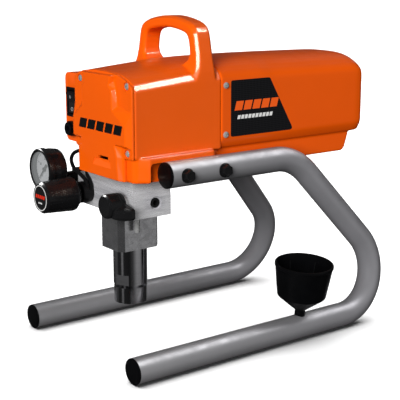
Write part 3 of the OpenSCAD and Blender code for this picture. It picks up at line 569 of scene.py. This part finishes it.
bolts = bmesh.new()
SPOT_X = RAIL_X + TUBE_R - 1.2
HEX_TOP = 7.9
BOLT_PROFILE = [(0, -36), (4, -36), (4, 0.05), (8.5, 0.05), (8.9, 0.5), (8.9, 1.3), (8.2, 1.9), (7.7, 2.3),
                (7.7, 2.35), (7.7, HEX_TOP - 0.9), (7.1, HEX_TOP - 0.35), (6.3, HEX_TOP), (5.2, HEX_TOP),
                (4.9, HEX_TOP - 0.4), (0, HEX_TOP - 0.5)]
for side in (-1, 1):
    for y in (95, 151):
        seat = place(side * SPOT_X, y, RAIL_Z)
        lathe_into(bolts, BOLT_PROFILE, seat, (side, 0, 0), 72, hexagonal(13, 2.33))
add_object("flange_bolts", bolts, BLACK_STEEL, "chassis", ["frame_bolts"], 28)

# ---------- drip cup ----------
CUP_PROFILE = rounded([(0, -9), (6.2, -9), (6.8, -8), (6.8, 7, 2), (31.3, 27, 3), (36.9, 66.5, 0.8),
                       (37.8, 67.2, 0.4), (37.8, 70.2, 0.5), (37.0, 71, 0.4), (35.4, 71, 0.4),
                       (34.9, 70, 0.4), (28.9, 28, 4), (3.2, 10, 2), (3.2, 1.5), (0, 1.5)], 1.0)
CUP_FIN = [(34.2, 62), (28.3, 29), (22, 23.5), (19.5, 21.8), (26.2, 29.5), (32.4, 62)]
FINS, FIN_START = 6, 20
cup = bmesh.new()
lathe_into(cup, CUP_PROFILE, CUP_BASE, CUP_AXIS, 72)
for k in range(FINS):
    spin = frame_along(CUP_AXIS) @ Matrix.Rotation(math.radians(360 // FINS * k + FIN_START), 3, "Z")
    rings_into(cup, [[CUP_BASE + spin @ Vector((r, w, h)) / 1000 for r, h in CUP_FIN] for w in (-0.6, 0.6)])
add_object("cup", cup, BLACK, "cup", ["drip_cup"], 30)


# ---------- housing, handle and covers ----------
def top_height(x, crown, drop):
    """Height of the crowned top above x."""
    return crown - drop * (abs(x) / 60) ** 3.4


def body_ring(y, hw, base, edge, crown, bend=1.0, width=7.0):
    """Cross-section of the body: flat sides, a shoulder and a crowned top. The shoulder is a flat chamfer
    where bend is 0 and fully round where it is 1."""
    drop = 0.55 * (crown - edge)
    shoulder = top_height(hw, crown, drop)
    right = [(hw, base), (hw, base + 0.35 * (shoulder - base)), (hw, base + 0.7 * (shoulder - base))]
    a, c = Vector((hw, shoulder - width)), Vector((hw - width, top_height(hw - width, crown, drop)))
    b = ((a + c) / 2).lerp(Vector((hw, shoulder + 1.0)), bend)
    right += [tuple(a * (1 - t) ** 2 + b * 2 * t * (1 - t) + c * t * t) for t in (i / 6 for i in range(7))]
    right += [(x, top_height(x, crown, drop)) for x in (hw - 14, hw - 20, hw - 27, hw - 35, hw - 44, hw - 54)]
    half = right + [(0.0, crown)]
    outline = half + [(-x, z) for x, z in reversed(right)]
    return [place(x, y, z) for x, z in outline]


# the handle's right half as (x, z) of its outer and inner outlines, and its front and back at each pair
HANDLE_OUTER = [(68, 326), (68, 337), (67.5, 347), (66.0, 357), (64.2, 367), (62.3, 377), (60.5, 386),
                (58.4, 394), (54.6, 400.2), (48.5, 404.0), (40, 406.9), (28, 409.4), (14, 411.4), (0, 412)]
HANDLE_INNER = [(30, 343), (36, 351.5), (42.0, 357.6), (46.3, 362.2), (47.8, 368.5), (47.2, 376), (45.8, 383),
                (43.6, 388.4), (40, 391.7), (34.5, 393.6), (28, 395.0), (19, 396.4), (9.5, 397.4), (0, 397.7)]
HANDLE_FRONT = [118, 124, 129.5, 132.0] + [133] * 10
HANDLE_BACK = [164, 162, 160.5, 159.5] + [159] * 10
FRONT_CHAMFER, FRONT_SLOPE, LIP, BACK_CHAMFER = 3.5, 5.8, 2.6, 3


def handle_rings():
    """Cross-sections of the handle from its right foot over the grip to its left foot."""
    half = [(*pair, 1) for pair in zip(HANDLE_OUTER, HANDLE_INNER, HANDLE_FRONT, HANDLE_BACK)]
    whole = half + [(*pair[:-1], -1) for pair in reversed(half[:-1])]
    rings = []
    for outer, inner, front, back, side in whole:
        o, i = Vector(outer), Vector(inner)
        d = (i - o).normalized()
        ring = [(o + d * FRONT_CHAMFER, front), (i - d * LIP, front), (i, front + LIP), (i, back - LIP),
                (i - d * LIP, back), (o + d * BACK_CHAMFER, back), (o, back - BACK_CHAMFER),
                (o, front + FRONT_SLOPE)]
        rings.append([place(side * p.x, y, p.y) for p, y in ring])
    return rings


HALF_WIDTH, WALL_FOOT = 68, 251
HOUSING_STATIONS = [(41, 332, 350), (60, 333.5, 351.7), (80, 335, 353.5), (105, 337, 355.7), (133, 339, 358),
                    (150, 338.5, 358.8), (168, 337, 359.5)]
casting = bmesh.new()
rings_into(casting, [body_ring(y, HALF_WIDTH, WALL_FOOT, edge, crown, 0.12, 5.2)
                     for y, edge, crown in HOUSING_STATIONS])
rings_into(casting, handle_rings())
# the housing's foot, which spreads over both rails
BOSS_PLAN = rounded([(61, 41), (67, 45, 3), (75, 57, 6), (75, 154, 4), (62, 156, 2), (62, 168), (-62, 168),
                     (-62, 156, 2), (-75, 154, 4), (-75, 57, 6), (-67, 45, 3), (-61, 41)], 2)
rings_into(casting, [[place(x * (1 if z > 224 else 0.985), y, z) for x, y in BOSS_PLAN]
                     for z in (222, 225, 249.6, 252)])
soft_casting = fused(casting, 1.2, 3)
body_shape = bpy.data.objects.new("temp_casting", soft_casting)
bpy.context.scene.collection.objects.link(body_shape)

# cut out of the casting: saddles for the rails, hollows and pockets on either side of a bulkhead, ways for the
# pump and crank, and a gap in the left wall for the switch box
saddles = bmesh.new()
SADDLE_PROFILE = rounded([(0, 0), (16.1, 0, 5), (16.1, 115, 0), (0, 115)], 5)
for side in (-1, 1):
    lathe_into(saddles, SADDLE_PROFILE, place(side * RAIL_X, 58, RAIL_Z), (0, 1, 0), 64)
hollow_front, hollow_rear, pocket, bores, box_gap = (bmesh.new() for _ in range(5))
box_into(box_gap, (-100, 38, 254), (-61, 90, 350))
rings_into(hollow_front, [body_ring(y, 64, 257, edge, crown) for y, edge, crown in (
    (36, 331, 345), (93, 335, 350))])
rings_into(hollow_rear, [body_ring(y, 64, 257, edge, crown) for y, edge, crown in (
    (107, 336, 351.5), (133, 338, 353.5), (172, 336, 355))])
box_into(pocket, (-48, 36, 232), (48, 93, 262))
box_into(pocket, (-48, 107, 232), (48, 172, 262))
lathe_into(bores, [(0, 0), (18, 0), (18, 16), (0, 16)], place(0, 76, 219), (0, 0, 1), 48)
cylinder_into(bores, 0, 285, 90, 110, 14)
housing_cuts = [temp(cutter) for cutter in (saddles, hollow_front, hollow_rear, pocket, bores, box_gap)]
housing_mesh = cut_away(body_shape, *housing_cuts)
add_object("housing_casting", housing_mesh, ORANGE, "chassis", ["drive_housing"], 40)


def mirrored(half):
    return half + [(-x, z) for x, z in reversed(half)]


def front_screw_ways(back, r):
    bm = bmesh.new()
    for x, z in FRONT_SCREWS:
        cylinder_into(bm, x, z, 30, back, r, 24)
    return bm


FRONT_SCREWS = [(56.5, 257), (56.5, 336), (-47.5, 337)]
FRONT_SEAT = 39
SIDE_SCREW_Z, SIDE_SCREW_Y = (268, 329), 175

# front cover: a flange on the seam and a raised face with sloping sides
FLANGE = [(50, 222), (50, 250), (68, 251), (68, 332), (66, 336.4), (60, 339.6), (50, 344), (40, 347.4),
          (28, 349.3), (14, 350), (-14, 350), (-28, 349.3), (-40, 347.6), (-50, 344.6), (-57, 341.2),
          (-61, 337), (-61, 255), (-59.6, 253), (-50, 252.4), (-50, 222)]
FACE_FOOT = [(48.6, 222.3), (47.2, 251), (45.6, 263), (67, 263), (67, 306), (38, 311.6), (35, 331),
             (31.8, 340.4), (36.5, 347.6)]
FACE_RIM = [(45.4, 223.6), (42.6, 252), (37.4, 266.4), (61, 267), (61, 289.5), (34, 305.6), (33.2, 329.4),
            (27.6, 335.6), (31, 346.4)]
FACE_LAYERS = [(FACE_FOOT, 38, -60.4), (FACE_FOOT, 37.2, -60.4), (FACE_RIM, 31, -56)]

front = bmesh.new()
prism_into(front, FLANGE, 37, 41)
rings_into(front, [[place(max(x, left_end), y, z) for x, z in mirrored(outline)]
                   for outline, y, left_end in FACE_LAYERS])
front_solid = add_object("temp_front", fused(front, 0.7, 3), ORANGE)
# cut out of the cover: its inside, a slot with a sloping ledge in the apron, and a step at the apron's left
inside, slot_cut, ledge, step = bmesh.new(), bmesh.new(), bmesh.new(), bmesh.new()
prism_into(inside, mirrored([(30, 233), (30, 300), (26, 340)]), 34.2, 43)
box_into(slot_cut, (2, 30, 245), (24, 36, 249.4))
rings_into(ledge, [[place(x, y, z) for x, y, z in ring] for ring in (
    [(-7, 30, 245.4), (29, 30, 245.4), (31, 30, 235.5), (-12, 30, 235.5)],
    [(-5, 33.8, 245.4), (27, 33.8, 245.4), (30, 31, 236), (-11, 31, 236)])])
prism_into(step, [(-50, 220), (-24, 220), (-15.5, 237), (-19, 241), (-50, 243)], 29, 32.6)
front_cuts = (inside, slot_cut, ledge, step, front_screw_ways(FRONT_SEAT, 5.2), front_screw_ways(43, 2.1))
front_mesh = cut_away(front_solid, *[temp(cutter) for cutter in front_cuts])
add_object("cover_front", front_mesh, ORANGE, "chassis", ["front_cover"], 30)


def bars_into(bm, count, start, end, low, high, slant, gap, to_station):
    """A row of slanted bars between two ends, as a plain mark; to_station takes (along, up, out)."""
    pitch = (end - start) / count
    for i in range(count):
        a, b = start + pitch * i, start + pitch * (i + 1) - gap
        bar = ((a, low), (b, low), (b + slant, high), (a + slant, high))
        rings_into(bm, [[to_station(u, v, out) for u, v in bar] for out in (0, 1)])


front_mark = bmesh.new()
bars_into(front_mark, 5, -42, 56, 278.4, 290.4, 4.2, 3.4, lambda u, v, out: place(u, 31.3 - 0.42 * out, v))
add_object("front_mark", front_mark, BLACK, "chassis", (), 30)


# rear cover: a long shell with a crowned top, rounded back corners and a narrower skirt
TUCK = [(6.6, 0), (5.2, 0.8), (2.4, 6), (0.6, 10.5)]


def shell_ring(y, hw, base, edge, crown, inset=0.0):
    """Cross-section of the rear cover, whose sides tuck in at their feet."""
    ring = body_ring(y, hw - inset, base + 14 + inset, edge - inset * 0.4, crown - inset)
    tuck = [(hw - inward - inset, base + up + inset) for inward, up in TUCK]
    return [place(x, y, z) for x, z in tuck] + ring + [place(-x, y, z) for x, z in reversed(tuck)]


SHELL_STATIONS = [(168, 68, 251, 337, 359.5), (200, 68, 251, 336.6, 359.8), (236, 68, 251, 336.2, 359.9),
                  (252, 68, 251, 334.4, 359.8), (300, 68, 251, 334.2, 359.2), (350, 68, 251, 334, 358.2),
                  (388, 68, 251, 333.8, 357.4), (399, 68, 251, 333.4, 356.8),
                  (405, 67.7, 251.2, 332.4, 355.6), (409, 67.1, 251.8, 330.8, 353.8),
                  (411.8, 66.2, 252.8, 328.8, 351.4), (413, 65.0, 254.2, 326.8, 348.8)]
HOLLOW_STATIONS = [(164, 68, 251, 337, 359.5)] + SHELL_STATIONS[1:8] + [(408, 67, 252, 329, 351)]
SHELL_WALL = 3
rear = bmesh.new()
rings_into(rear, [shell_ring(*station) for station in SHELL_STATIONS])
skirt = rounded([(-60, 224.5, 2), (60, 224.5, 2), (60, 262, 0), (-60, 262, 0)], 2, closed=True)
rings_into(rear, [[place(x, y, max(z, low)) for x, z in skirt] for y, low in (
    (168, 223.5), (378, 223.5), (384, 224.6), (388.5, 228.5), (392, 238), (397.5, 256))])
rear_solid = add_object("temp_rear", fused(rear, 1.3, 4), SHELL)
rear_hollow, skirt_hollow, louvres, rear_ways = bmesh.new(), bmesh.new(), bmesh.new(), bmesh.new()
rings_into(rear_hollow, [shell_ring(*station, inset=SHELL_WALL) for station in HOLLOW_STATIONS])
box_into(skirt_hollow, (-57, 164, 226.5), (57, 380, 260))
# two columns of six louvres in the rear wall
for z in range(270, 311, 8):
    for x in (-44, 4):
        slit = [(x, z), (x + 40, z), (x + 40, z + 3.4), (x, z + 3.4)]
        prism_into(louvres, rounded(slit, 1.6, closed=True), 400, 416)
for side in (-1, 1):
    for z in SIDE_SCREW_Z:
        way_start = place(side * 55, SIDE_SCREW_Y, z)
        lathe_into(rear_ways, [(0, 0), (2.1, 0), (2.1, 20), (0, 20)], way_start, (side, 0, 0), 24)
rear_mesh = cut_away(rear_solid, temp(rear_hollow), temp(skirt_hollow), temp(louvres), temp(rear_ways))
add_object("cover_rear", rear_mesh, SHELL, "chassis", ["rear_cover"], 40)

# pan-head screws with cross recesses
heads, cross_a, cross_b = bmesh.new(), bmesh.new(), bmesh.new()
PAN_HEAD = [(0, -6), (1.9, -6), (1.9, 0.02), (3.9, 0.02), (4.1, 0.5), (3.9, 1.2), (3.3, 1.9), (2.2, 2.35),
            (0, 2.5)]
CROSS_LONG, CROSS_THIN = 2.5, 0.55
SCREW_PLACES = [(place(x, FRONT_SEAT, z), Vector((0, -1, 0))) for x, z in FRONT_SCREWS]
SCREW_PLACES += [(place(side * HALF_WIDTH, SIDE_SCREW_Y, z), Vector((side, 0, 0)))
                 for side in (-1, 1) for z in SIDE_SCREW_Z]
for number, (seat, out) in enumerate(SCREW_PLACES):
    lathe_into(heads, PAN_HEAD, seat, out, 36)
    spin = Matrix.Rotation(0.5 * number, 3, out) @ frame_along(out)
    for bm, w, h in ((cross_a, CROSS_LONG, CROSS_THIN), (cross_b, CROSS_THIN, CROSS_LONG)):
        corners = ((-w, -h), (w, -h), (w, h), (-w, h))
        rings_into(bm, [[seat + spin @ Vector((a, b, d)) / 1000 for a, b in corners] for d in (0.7, 3.2)])
screw_mesh = cut_away(temp(heads), temp(cross_a), temp(cross_b))
add_object("pan_screws", screw_mesh, PLATED, "chassis", ["cover_screws"], 30)

# side labels with a plain mark each
LABEL_SHAPE = rounded([(183, 264.5, 3), (286.5, 264.5, 4), (245.5, 334.5, 4), (183, 334.5, 3)], 3, 6, True)
labels, colour_marks, pale_marks = bmesh.new(), bmesh.new(), bmesh.new()
for side in (-1, 1):
    rings_into(labels, [[place(side * x, y, z) for y, z in LABEL_SHAPE] for x in (67.6, 68.4)])

    def on_label(u, v, out, side=side):
        return place(side * (68.3 + 0.25 * out), u, v)

    bars_into(colour_marks, 5, 188.5, 260, 296.8, 308.2, 3.2, 2.6, on_label)
    bars_into(pale_marks, 10, 193, 251, 285.8, 290.6, 1.3, 1.5, on_label)
add_object("foil_labels", labels, LABEL, "chassis", ["side_labels"], 40)
add_object("label_marks", colour_marks, SHELL, "chassis", (), 30)
add_object("label_lines", pale_marks, WHITE, "chassis", (), 30)

# ---------- gauge ----------
GAUGE_X, GAUGE_Z = -96.5, 218
GAUGE_PROFILE = rounded([(0, 31), (24.6, 31, 3.5), (26.2, 20, 3), (26.2, 12, 0.5), (27.5, 11.4, 0.8),
                         (27.5, 4.4, 1.4), (26.4, 3.0, 0.8), (24.6, 3.0, 0.8), (23.0, 5.2, 0.6),
                         (23.0, 26, 0), (0, 26)], 1)
STEM_PROFILE = rounded([(0, 30.5), (7.4, 30.5), (7.4, 36, 1), (6.5, 38, 1), (6.5, 55), (4.5, 55), (4.5, 61),
                        (0, 61)], 1)
gauge_case = bmesh.new()
lathe_into(gauge_case, GAUGE_PROFILE, place(GAUGE_X, 0, GAUGE_Z), (0, 1, 0), 96)
lathe_into(gauge_case, STEM_PROFILE, place(-95, 0, 205), (0, 1, 0), 48)
add_object("gauge_pot", gauge_case, BLACK_GLOSS, "chassis", ["gauge_case"], 30)

# a scale of 270 degrees from 0 to 40 with a generic number at every tenth mark
DIAL_Y, DIAL_START, TICK_STEP, TICK_END, NUMBER_R = 11.9, 225, 6.75, 21.4, 13.6
ticks = bmesh.new()
for i in range(41):
    angle = math.radians(DIAL_START - TICK_STEP * i)
    inner, half = (17.6, 0.34) if i % 10 == 0 else ((18.9, 0.24) if i % 5 == 0 else (19.9, 0.14))
    d, n = Vector((math.cos(angle), math.sin(angle))), Vector((-math.sin(angle), math.cos(angle)))
    corners = [d * inner - n * half, d * TICK_END - n * half, d * TICK_END + n * half, d * inner + n * half]
    rings_into(ticks, [[place(GAUGE_X + c.x, y, GAUGE_Z + c.y) for c in corners]
                       for y in (DIAL_Y - 0.12, DIAL_Y + 0.2)])
for i in range(5):
    angle = math.radians(DIAL_START - 10 * TICK_STEP * i)
    digits = bpy.data.curves.new("digits", "FONT")
    digits.body = str(i * 10)
    digits.size, digits.extrude = 0.0052, 0.0001
    digits.align_x, digits.align_y = "CENTER", "CENTER"
    holder = bpy.data.objects.new("digits", digits)
    bpy.context.scene.collection.objects.link(holder)
    number = baked(holder)
    middle = place(GAUGE_X + NUMBER_R * math.cos(angle), DIAL_Y - 0.1, GAUGE_Z + NUMBER_R * math.sin(angle))
    number.transform(Matrix.Translation(middle) @ Matrix.Rotation(math.radians(90), 4, "X"))
    ticks.from_mesh(number)
    bpy.data.meshes.remove(number)
add_object("dial_scale", ticks, BLACK, "chassis", (), 30)

needle = bmesh.new()
HUB_PROFILE = rounded([(0, 8.6), (2.6, 8.6, 0.6), (2.9, 10.6, 0.3), (1.2, 10.6), (1.2, 15.9), (0, 15.9)], 0.4)
lathe_into(needle, HUB_PROFILE, place(GAUGE_X, 0, GAUGE_Z), (0, 1, 0), 40)
toward = Vector((math.cos(math.radians(DIAL_START)), math.sin(math.radians(DIAL_START))))
sideways = Vector((-toward.y, toward.x))
NEEDLE_PLAN = [(-9, -1.5), (-7, -1.8), (-2, -1.1), (17.8, -0.35), (18.6, 0), (17.8, 0.35), (-2, 1.1),
               (-7, 1.8), (-9, 1.5)]
needle_outline = [toward * u + sideways * v for u, v in NEEDLE_PLAN]
rings_into(needle, [[place(GAUGE_X + p.x, y, GAUGE_Z + p.y) for p in needle_outline] for y in (9.4, 10.3)])
add_object("needle_arm", needle, BLACK, "needle", ["gauge_needle"], 35)

# ---------- pressure knob ----------
KNOB_X, KNOB_Z = -54, 192


def soft_facets(angle, radius, along):
    """Eight shallow grips round the knob's side, which fade out towards both ends."""
    if radius <= 17:
        return radius
    fade = min(1.0, max(0.0, (along + 17.5) / 6)) * min(1.0, max(0.0, (27 - along) / 5))
    return radius * (1 - 0.022 * fade * (0.5 - 0.5 * math.cos(8 * angle)) ** 2)


KNOB_PROFILE = rounded([(0, -19.5), (16.3, -19.5, 0.3), (16.6, -20, 0.3), (17.3, -20, 0.8),
                        (19.7, -16.8, 1.6), (20.2, -8, 3), (21.0, 8, 3), (21.9, 24, 3.4), (14, 32, 2),
                        (10, 32), (10, 14), (3, 14), (3, -8), (0, -8)], 1, 5)
knob = bmesh.new()
lathe_into(knob, KNOB_PROFILE, place(KNOB_X, 0, KNOB_Z), (0, 1, 0), 128, soft_facets)
add_object("knob_cap", knob, BLACK_GLOSS, "pressure_control", ["pressure_knob"], 30)
ring_mark, red_marks = bmesh.new(), bmesh.new()
RING_PROFILE = [(15.9, -19.72), (14.9, -19.72), (14.9, -19.3), (15.9, -19.3)]


def on_knob(u, v, out):
    return place(u, -19.4 - 0.3 * out, v)


lathe_into(ring_mark, RING_PROFILE, place(KNOB_X, 0, KNOB_Z), (0, 1, 0), 96)
bars_into(ring_mark, 3, -59, -49, 184.6, 186.4, 0.4, 1.2, on_knob)
bars_into(red_marks, 5, -66, -42.5, 191.4, 195.8, 1.4, 1.2, on_knob)
add_object("knob_ring", ring_mark, WHITE, "pressure_control", (), 30)
add_object("knob_marks", red_marks, RED, "pressure_control", (), 30)

# ---------- drain valve handle ----------
VALVE_X, VALVE_Z = 30, 191
VALVE_PROFILE = rounded([(0, 20), (12.6, 20, 1), (14.9, 22.4, 2), (15, 36.6, 0.4), (14.2, 37, 0.2),
                         (14.2, 37.8, 0.2), (14.9, 38.2, 0.4), (14.4, 43.6, 1.2), (0, 43.6)], 1)
valve = bmesh.new()
lathe_into(valve, VALVE_PROFILE, place(VALVE_X, 0, VALVE_Z), (0, 1, 0), 72)
# the lever's outline as (x, z) from the valve's axis at four depths
LEVER_PLANS = [([(2, -12), (12, -13.6), (15.6, -12.6), (16.4, -11), (16, -6), (13, -3.4), (6, 0)], 25.2),
               ([(2, -13), (14, -15.6), (22, -13.4), (23.4, -11.6), (23, -4.6), (20, -2.4), (8, 2)], 31),
               ([(2, -14), (16, -17.4), (31, -13.2), (33, -11.2), (32.8, -2), (30, -0.2), (10, 4)], 38.5),
               ([(2, -14), (16, -17.6), (31.6, -13.2), (33.4, -11.2), (33.2, -1.4), (30.4, 0.4), (10, 4)],
                43.4)]
rings_into(valve, [[place(VALVE_X + x, y, VALVE_Z + z) for x, z in plan] for plan, y in LEVER_PLANS])
valve_solid = add_object("temp_valve", fused(valve, 0.5, 3), BLACK_GLOSS)
stem_way = bmesh.new()
cylinder_into(stem_way, VALVE_X, VALVE_Z, 25, 46, 3.05, 32)
lever_mesh = cut_away(valve_solid, temp(stem_way))
add_object("valve_lever", lever_mesh, BLACK_GLOSS, "drain_handle", ["drain_valve_handle"], 40)


# ---------- cables ----------
def along_route(stations, steps=7):
    """A smooth curve through the stations."""
    points = [Vector(p) for p in stations]
    ends = [points[0] * 2 - points[1]] + points + [points[-1] * 2 - points[-2]]
    curve = []
    for a, b, c, d in zip(ends, ends[1:], ends[2:], ends[3:]):
        for s in range(steps):
            t = s / steps
            curve.append(0.5 * ((2 * b) + (c - a) * t + (2 * a - 5 * b + 4 * c - d) * t * t
                                + (3 * b - a - 3 * c + d) * t ** 3))
    return curve + [points[-1]]


def cable_piece(name, stations, r, node):
    """A round cable of radius r along the stations."""
    curve = along_route(stations)
    normal = Vector((0, 1, 0))
    rings = []
    for i, point in enumerate(curve):
        ahead = (curve[min(i + 1, len(curve) - 1)] - curve[max(i - 1, 0)]).normalized()
        normal = (normal - ahead * normal.dot(ahead)).normalized()
        across = ahead.cross(normal)
        rings.append([place(*(point + (normal * math.cos(t) + across * math.sin(t)) * r))
                      for t in (2 * math.pi * k / 24 for k in range(24))])
    add_object(name, loft(rings), RUBBER, "chassis", [node], 50)


cable_piece("control_lead", [(-44, 43, 200), (-46, 43, 204), (-51, 43, 208.5), (-59, 43, 212), (-68, 43, 215),
                             (-77, 43, 218.5), (-83.5, 43.5, 224), (-85.5, 44, 230.5), (-82, 45.5, 237),
                             (-75, 48, 241), (-68, 50, 242.5), (-60, 51, 243)], 2.4, "control_cable")
cable_piece("sensor_lead", [(-41, 46, 196), (-42, 46.5, 203), (-47, 47, 209), (-54, 48, 213.5),
                            (-60, 50.5, 216.5), (-63, 54, 218.5), (-64, 57, 220.5), (-64, 58.5, 224)],
            2.0, "sensor_cable")

# ---------- rocker marks ----------
rocker_marks = bmesh.new()
TILT = math.radians(9)
ROCKER_PIVOT, ROCKER_DEPTH = Vector((-76, 46, 304)), 5.9


def on_rocker(lift):
    """The station on the tilted rocker's face that is lift above its middle."""
    toward_front = Vector((0, -math.cos(TILT), -math.sin(TILT)))
    upward = Vector((0, -math.sin(TILT), math.cos(TILT)))
    return ROCKER_PIVOT + toward_front * ROCKER_DEPTH + upward * lift


line, ring = on_rocker(8.2), on_rocker(-8.2)
rings_into(rocker_marks, [[place(line.x + a, line.y + y, line.z + b) for a, b in
                           ((-0.5, -2.4), (0.5, -2.4), (0.5, 2.4), (-0.5, 2.4))] for y in (-0.25, 0.6)])
lathe_into(rocker_marks, [(2.5, -0.25), (1.8, -0.25), (1.8, 0.6), (2.5, 0.6)], place(*ring), (0, 1, 0), 32)
add_object("rocker_marks", rocker_marks, DIAL, "rocker", (), 30)


# ---------- floor and light ----------
def collection_of(name, pieces):
    group = bpy.data.collections.new(name)
    for piece in pieces:
        group.objects.link(bpy.data.objects[piece])
    return group


def only_on(light, names):
    """Lets a light fall on the named objects only."""
    light.light_linking.receiver_collection = collection_of(light.name + "_only", names)


def area_light(name, where, target, size, power, color, names):
    """A softbox that shows only as a reflection, and only on the named objects."""
    light = bpy.data.objects.new(name, bpy.data.lights.new(name, "AREA"))
    light.data.shape = "RECTANGLE"
    light.data.size, light.data.size_y = size
    light.data.energy = power
    light.data.color = color
    light.location = where
    light.rotation_euler = (target - Vector(where)).to_track_quat("-Z", "Y").to_euler()
    light.visible_diffuse = False
    light.visible_camera = False
    bpy.context.scene.collection.objects.link(light)
    only_on(light, names)


FLOOR_HALF = 60
floor_corners = [(FLOOR_HALF * a, FLOOR_HALF * b, 0) for a, b in ((-1, -1), (1, -1), (1, 1), (-1, 1))]
floor_mesh = bpy.data.meshes.new("floor")
floor_mesh.from_pydata(floor_corners, [], [(0, 1, 2, 3)])
floor = bpy.data.objects.new("floor", floor_mesh)
bpy.context.scene.collection.objects.link(floor)
floor_shader = Shader("pale_floor", (0.9, 0.9, 0.9, 1), 0.8, specular=0.15)
floor_shader.vary_rough(floor_shader.noise(3, 2), 0.05)
floor.data.materials.append(floor_shader.mat)
# the machine doesn't mirror the floor, so that its undersides stay deep
floor.visible_glossy = False
floor.visible_diffuse = False

# a studio of tall bright and dark panels under a faint ceiling; its lower part is dark, so that undersides
# and the lower edges of the tubes stay deep
world = bpy.data.worlds.new("studio")
bpy.context.scene.world = world
world.use_nodes = True
tree = world.node_tree


def world_range(source, from_low, from_high, low=0.0, high=1.0):
    n = tree.nodes.new("ShaderNodeMapRange")
    n.inputs["From Min"].default_value = from_low
    n.inputs["From Max"].default_value = from_high
    n.inputs["To Min"].default_value = low
    n.inputs["To Max"].default_value = high
    tree.links.new(source, n.inputs["Value"])
    return n.outputs["Result"]


def world_mix(factor, b):
    n = tree.nodes.new("ShaderNodeMix")
    n.data_type = "RGBA"
    tree.links.new(factor, n.inputs["Factor"])
    tree.links.new(b, n.inputs["B"])
    return n


direction = tree.nodes.new("ShaderNodeTexCoord").outputs["Generated"]
height = tree.nodes.new("ShaderNodeSeparateXYZ")
tree.links.new(direction, height.inputs["Vector"])
around = tree.nodes.new("ShaderNodeTexGradient")
around.gradient_type = "RADIAL"
tree.links.new(direction, around.inputs["Vector"])
panels = tree.nodes.new("ShaderNodeValToRGB")
tree.links.new(around.outputs["Fac"], panels.inputs["Fac"])
# (place round the horizon as a share of a full turn, brightness)
PANELS = [(0.0, 0.08), (0.06, 0.08), (0.08, 0.13), (0.13, 0.13), (0.16, 0.03), (0.225, 0.03), (0.24, 0.34),
          (0.265, 0.34), (0.28, 0.03), (0.40, 0.02), (0.46, 0.10), (0.53, 0.52), (0.60, 0.52), (0.645, 0.06),
          (0.79, 0.02), (0.82, 0.42), (0.84, 0.42), (0.86, 0.03), (1.0, 0.10)]
while len(panels.color_ramp.elements) < len(PANELS):
    panels.color_ramp.elements.new(0.5)
for element, (where, value) in zip(panels.color_ramp.elements, PANELS):
    element.position = where
    element.color = (value, value, value, 1)
ceiling = world_range(height.outputs["Y"], 0.05, 0.55, 0.1, 0.25)
sky = world_mix(world_range(height.outputs["Z"], 0.45, 0.70), ceiling)
tree.links.new(panels.outputs["Color"], sky.inputs["A"])
ground = world_mix(world_range(height.outputs["Z"], -0.42, -0.26), sky.outputs["Result"])
ground.inputs["A"].default_value = (0.02, 0.02, 0.02, 1)
background = tree.nodes["Background"]
tree.links.new(ground.outputs["Result"], background.inputs["Color"])
background.inputs["Strength"].default_value = 0.62


def sun_light(name, energy, angle, travel):
    """Soft light that travels one way; a wide angle blurs its shadows."""
    sun = bpy.data.objects.new(name, bpy.data.lights.new(name, "SUN"))
    sun.data.energy = energy
    sun.data.angle = math.radians(angle)
    sun.rotation_euler = Vector(travel).to_track_quat("-Z", "Y").to_euler()
    bpy.context.scene.collection.objects.link(sun)
    return sun


key = sun_light("key", 4.65, 34, (-2.4, 3.6, -1.4))
back_fill = sun_light("back_fill", 2.6, 60, (1.9, -2.4, -0.2))
all_but_floor = collection_of("all_but_floor", ["floor"])
all_but_floor.collection_objects[0].light_linking.link_state = "EXCLUDE"
for sun in (key, back_fill):
    sun.visible_glossy = False
    sun.light_linking.receiver_collection = all_but_floor
# the floor has its own soft light, and only the stand and the cup shade it
wash = sun_light("floor_wash", 5.6, 88, (0.24, -0.1, -1))
only_on(wash, ["floor"])
stand_only = collection_of("stand_only", ["near_tube", "far_tube", "end_caps", "cup"])
wash.light_linking.blocker_collection = stand_only

# softboxes for the highlights along the housing's edges, the rails and the black controls
WHITE_LIGHT, WARM_WHITE = (1, 1, 1), (1, 0.9, 0.76)
SHOULDER = place(62, 90, 335)
HANDLE_EDGE = place(62, 136, 368)
RAIL = place(85, 150, 215)
CONTROLS = place(-20, 20, 195)
area_light("shoulder", (1.31, 1.12, 1.99), SHOULDER, (0.75, 0.5), 110, WARM_WHITE, ["housing_casting"])
area_light("edge", (1.98, -0.92, 1.01), HANDLE_EDGE, (0.6, 0.7), 125, WARM_WHITE,
           ["housing_casting", "cover_front"])
area_light("rail_gloss", (0.54, 1.41, 2.11), RAIL, (2.0, 1.2), 34, WHITE_LIGHT,
           ["near_tube", "far_tube", "flange_bolts"])
area_light("control_gloss", (-1.75, -0.65, 1.5), CONTROLS, (0.9, 0.7), 130, WHITE_LIGHT,
           ["knob_cap", "gauge_pot", "valve_lever"])
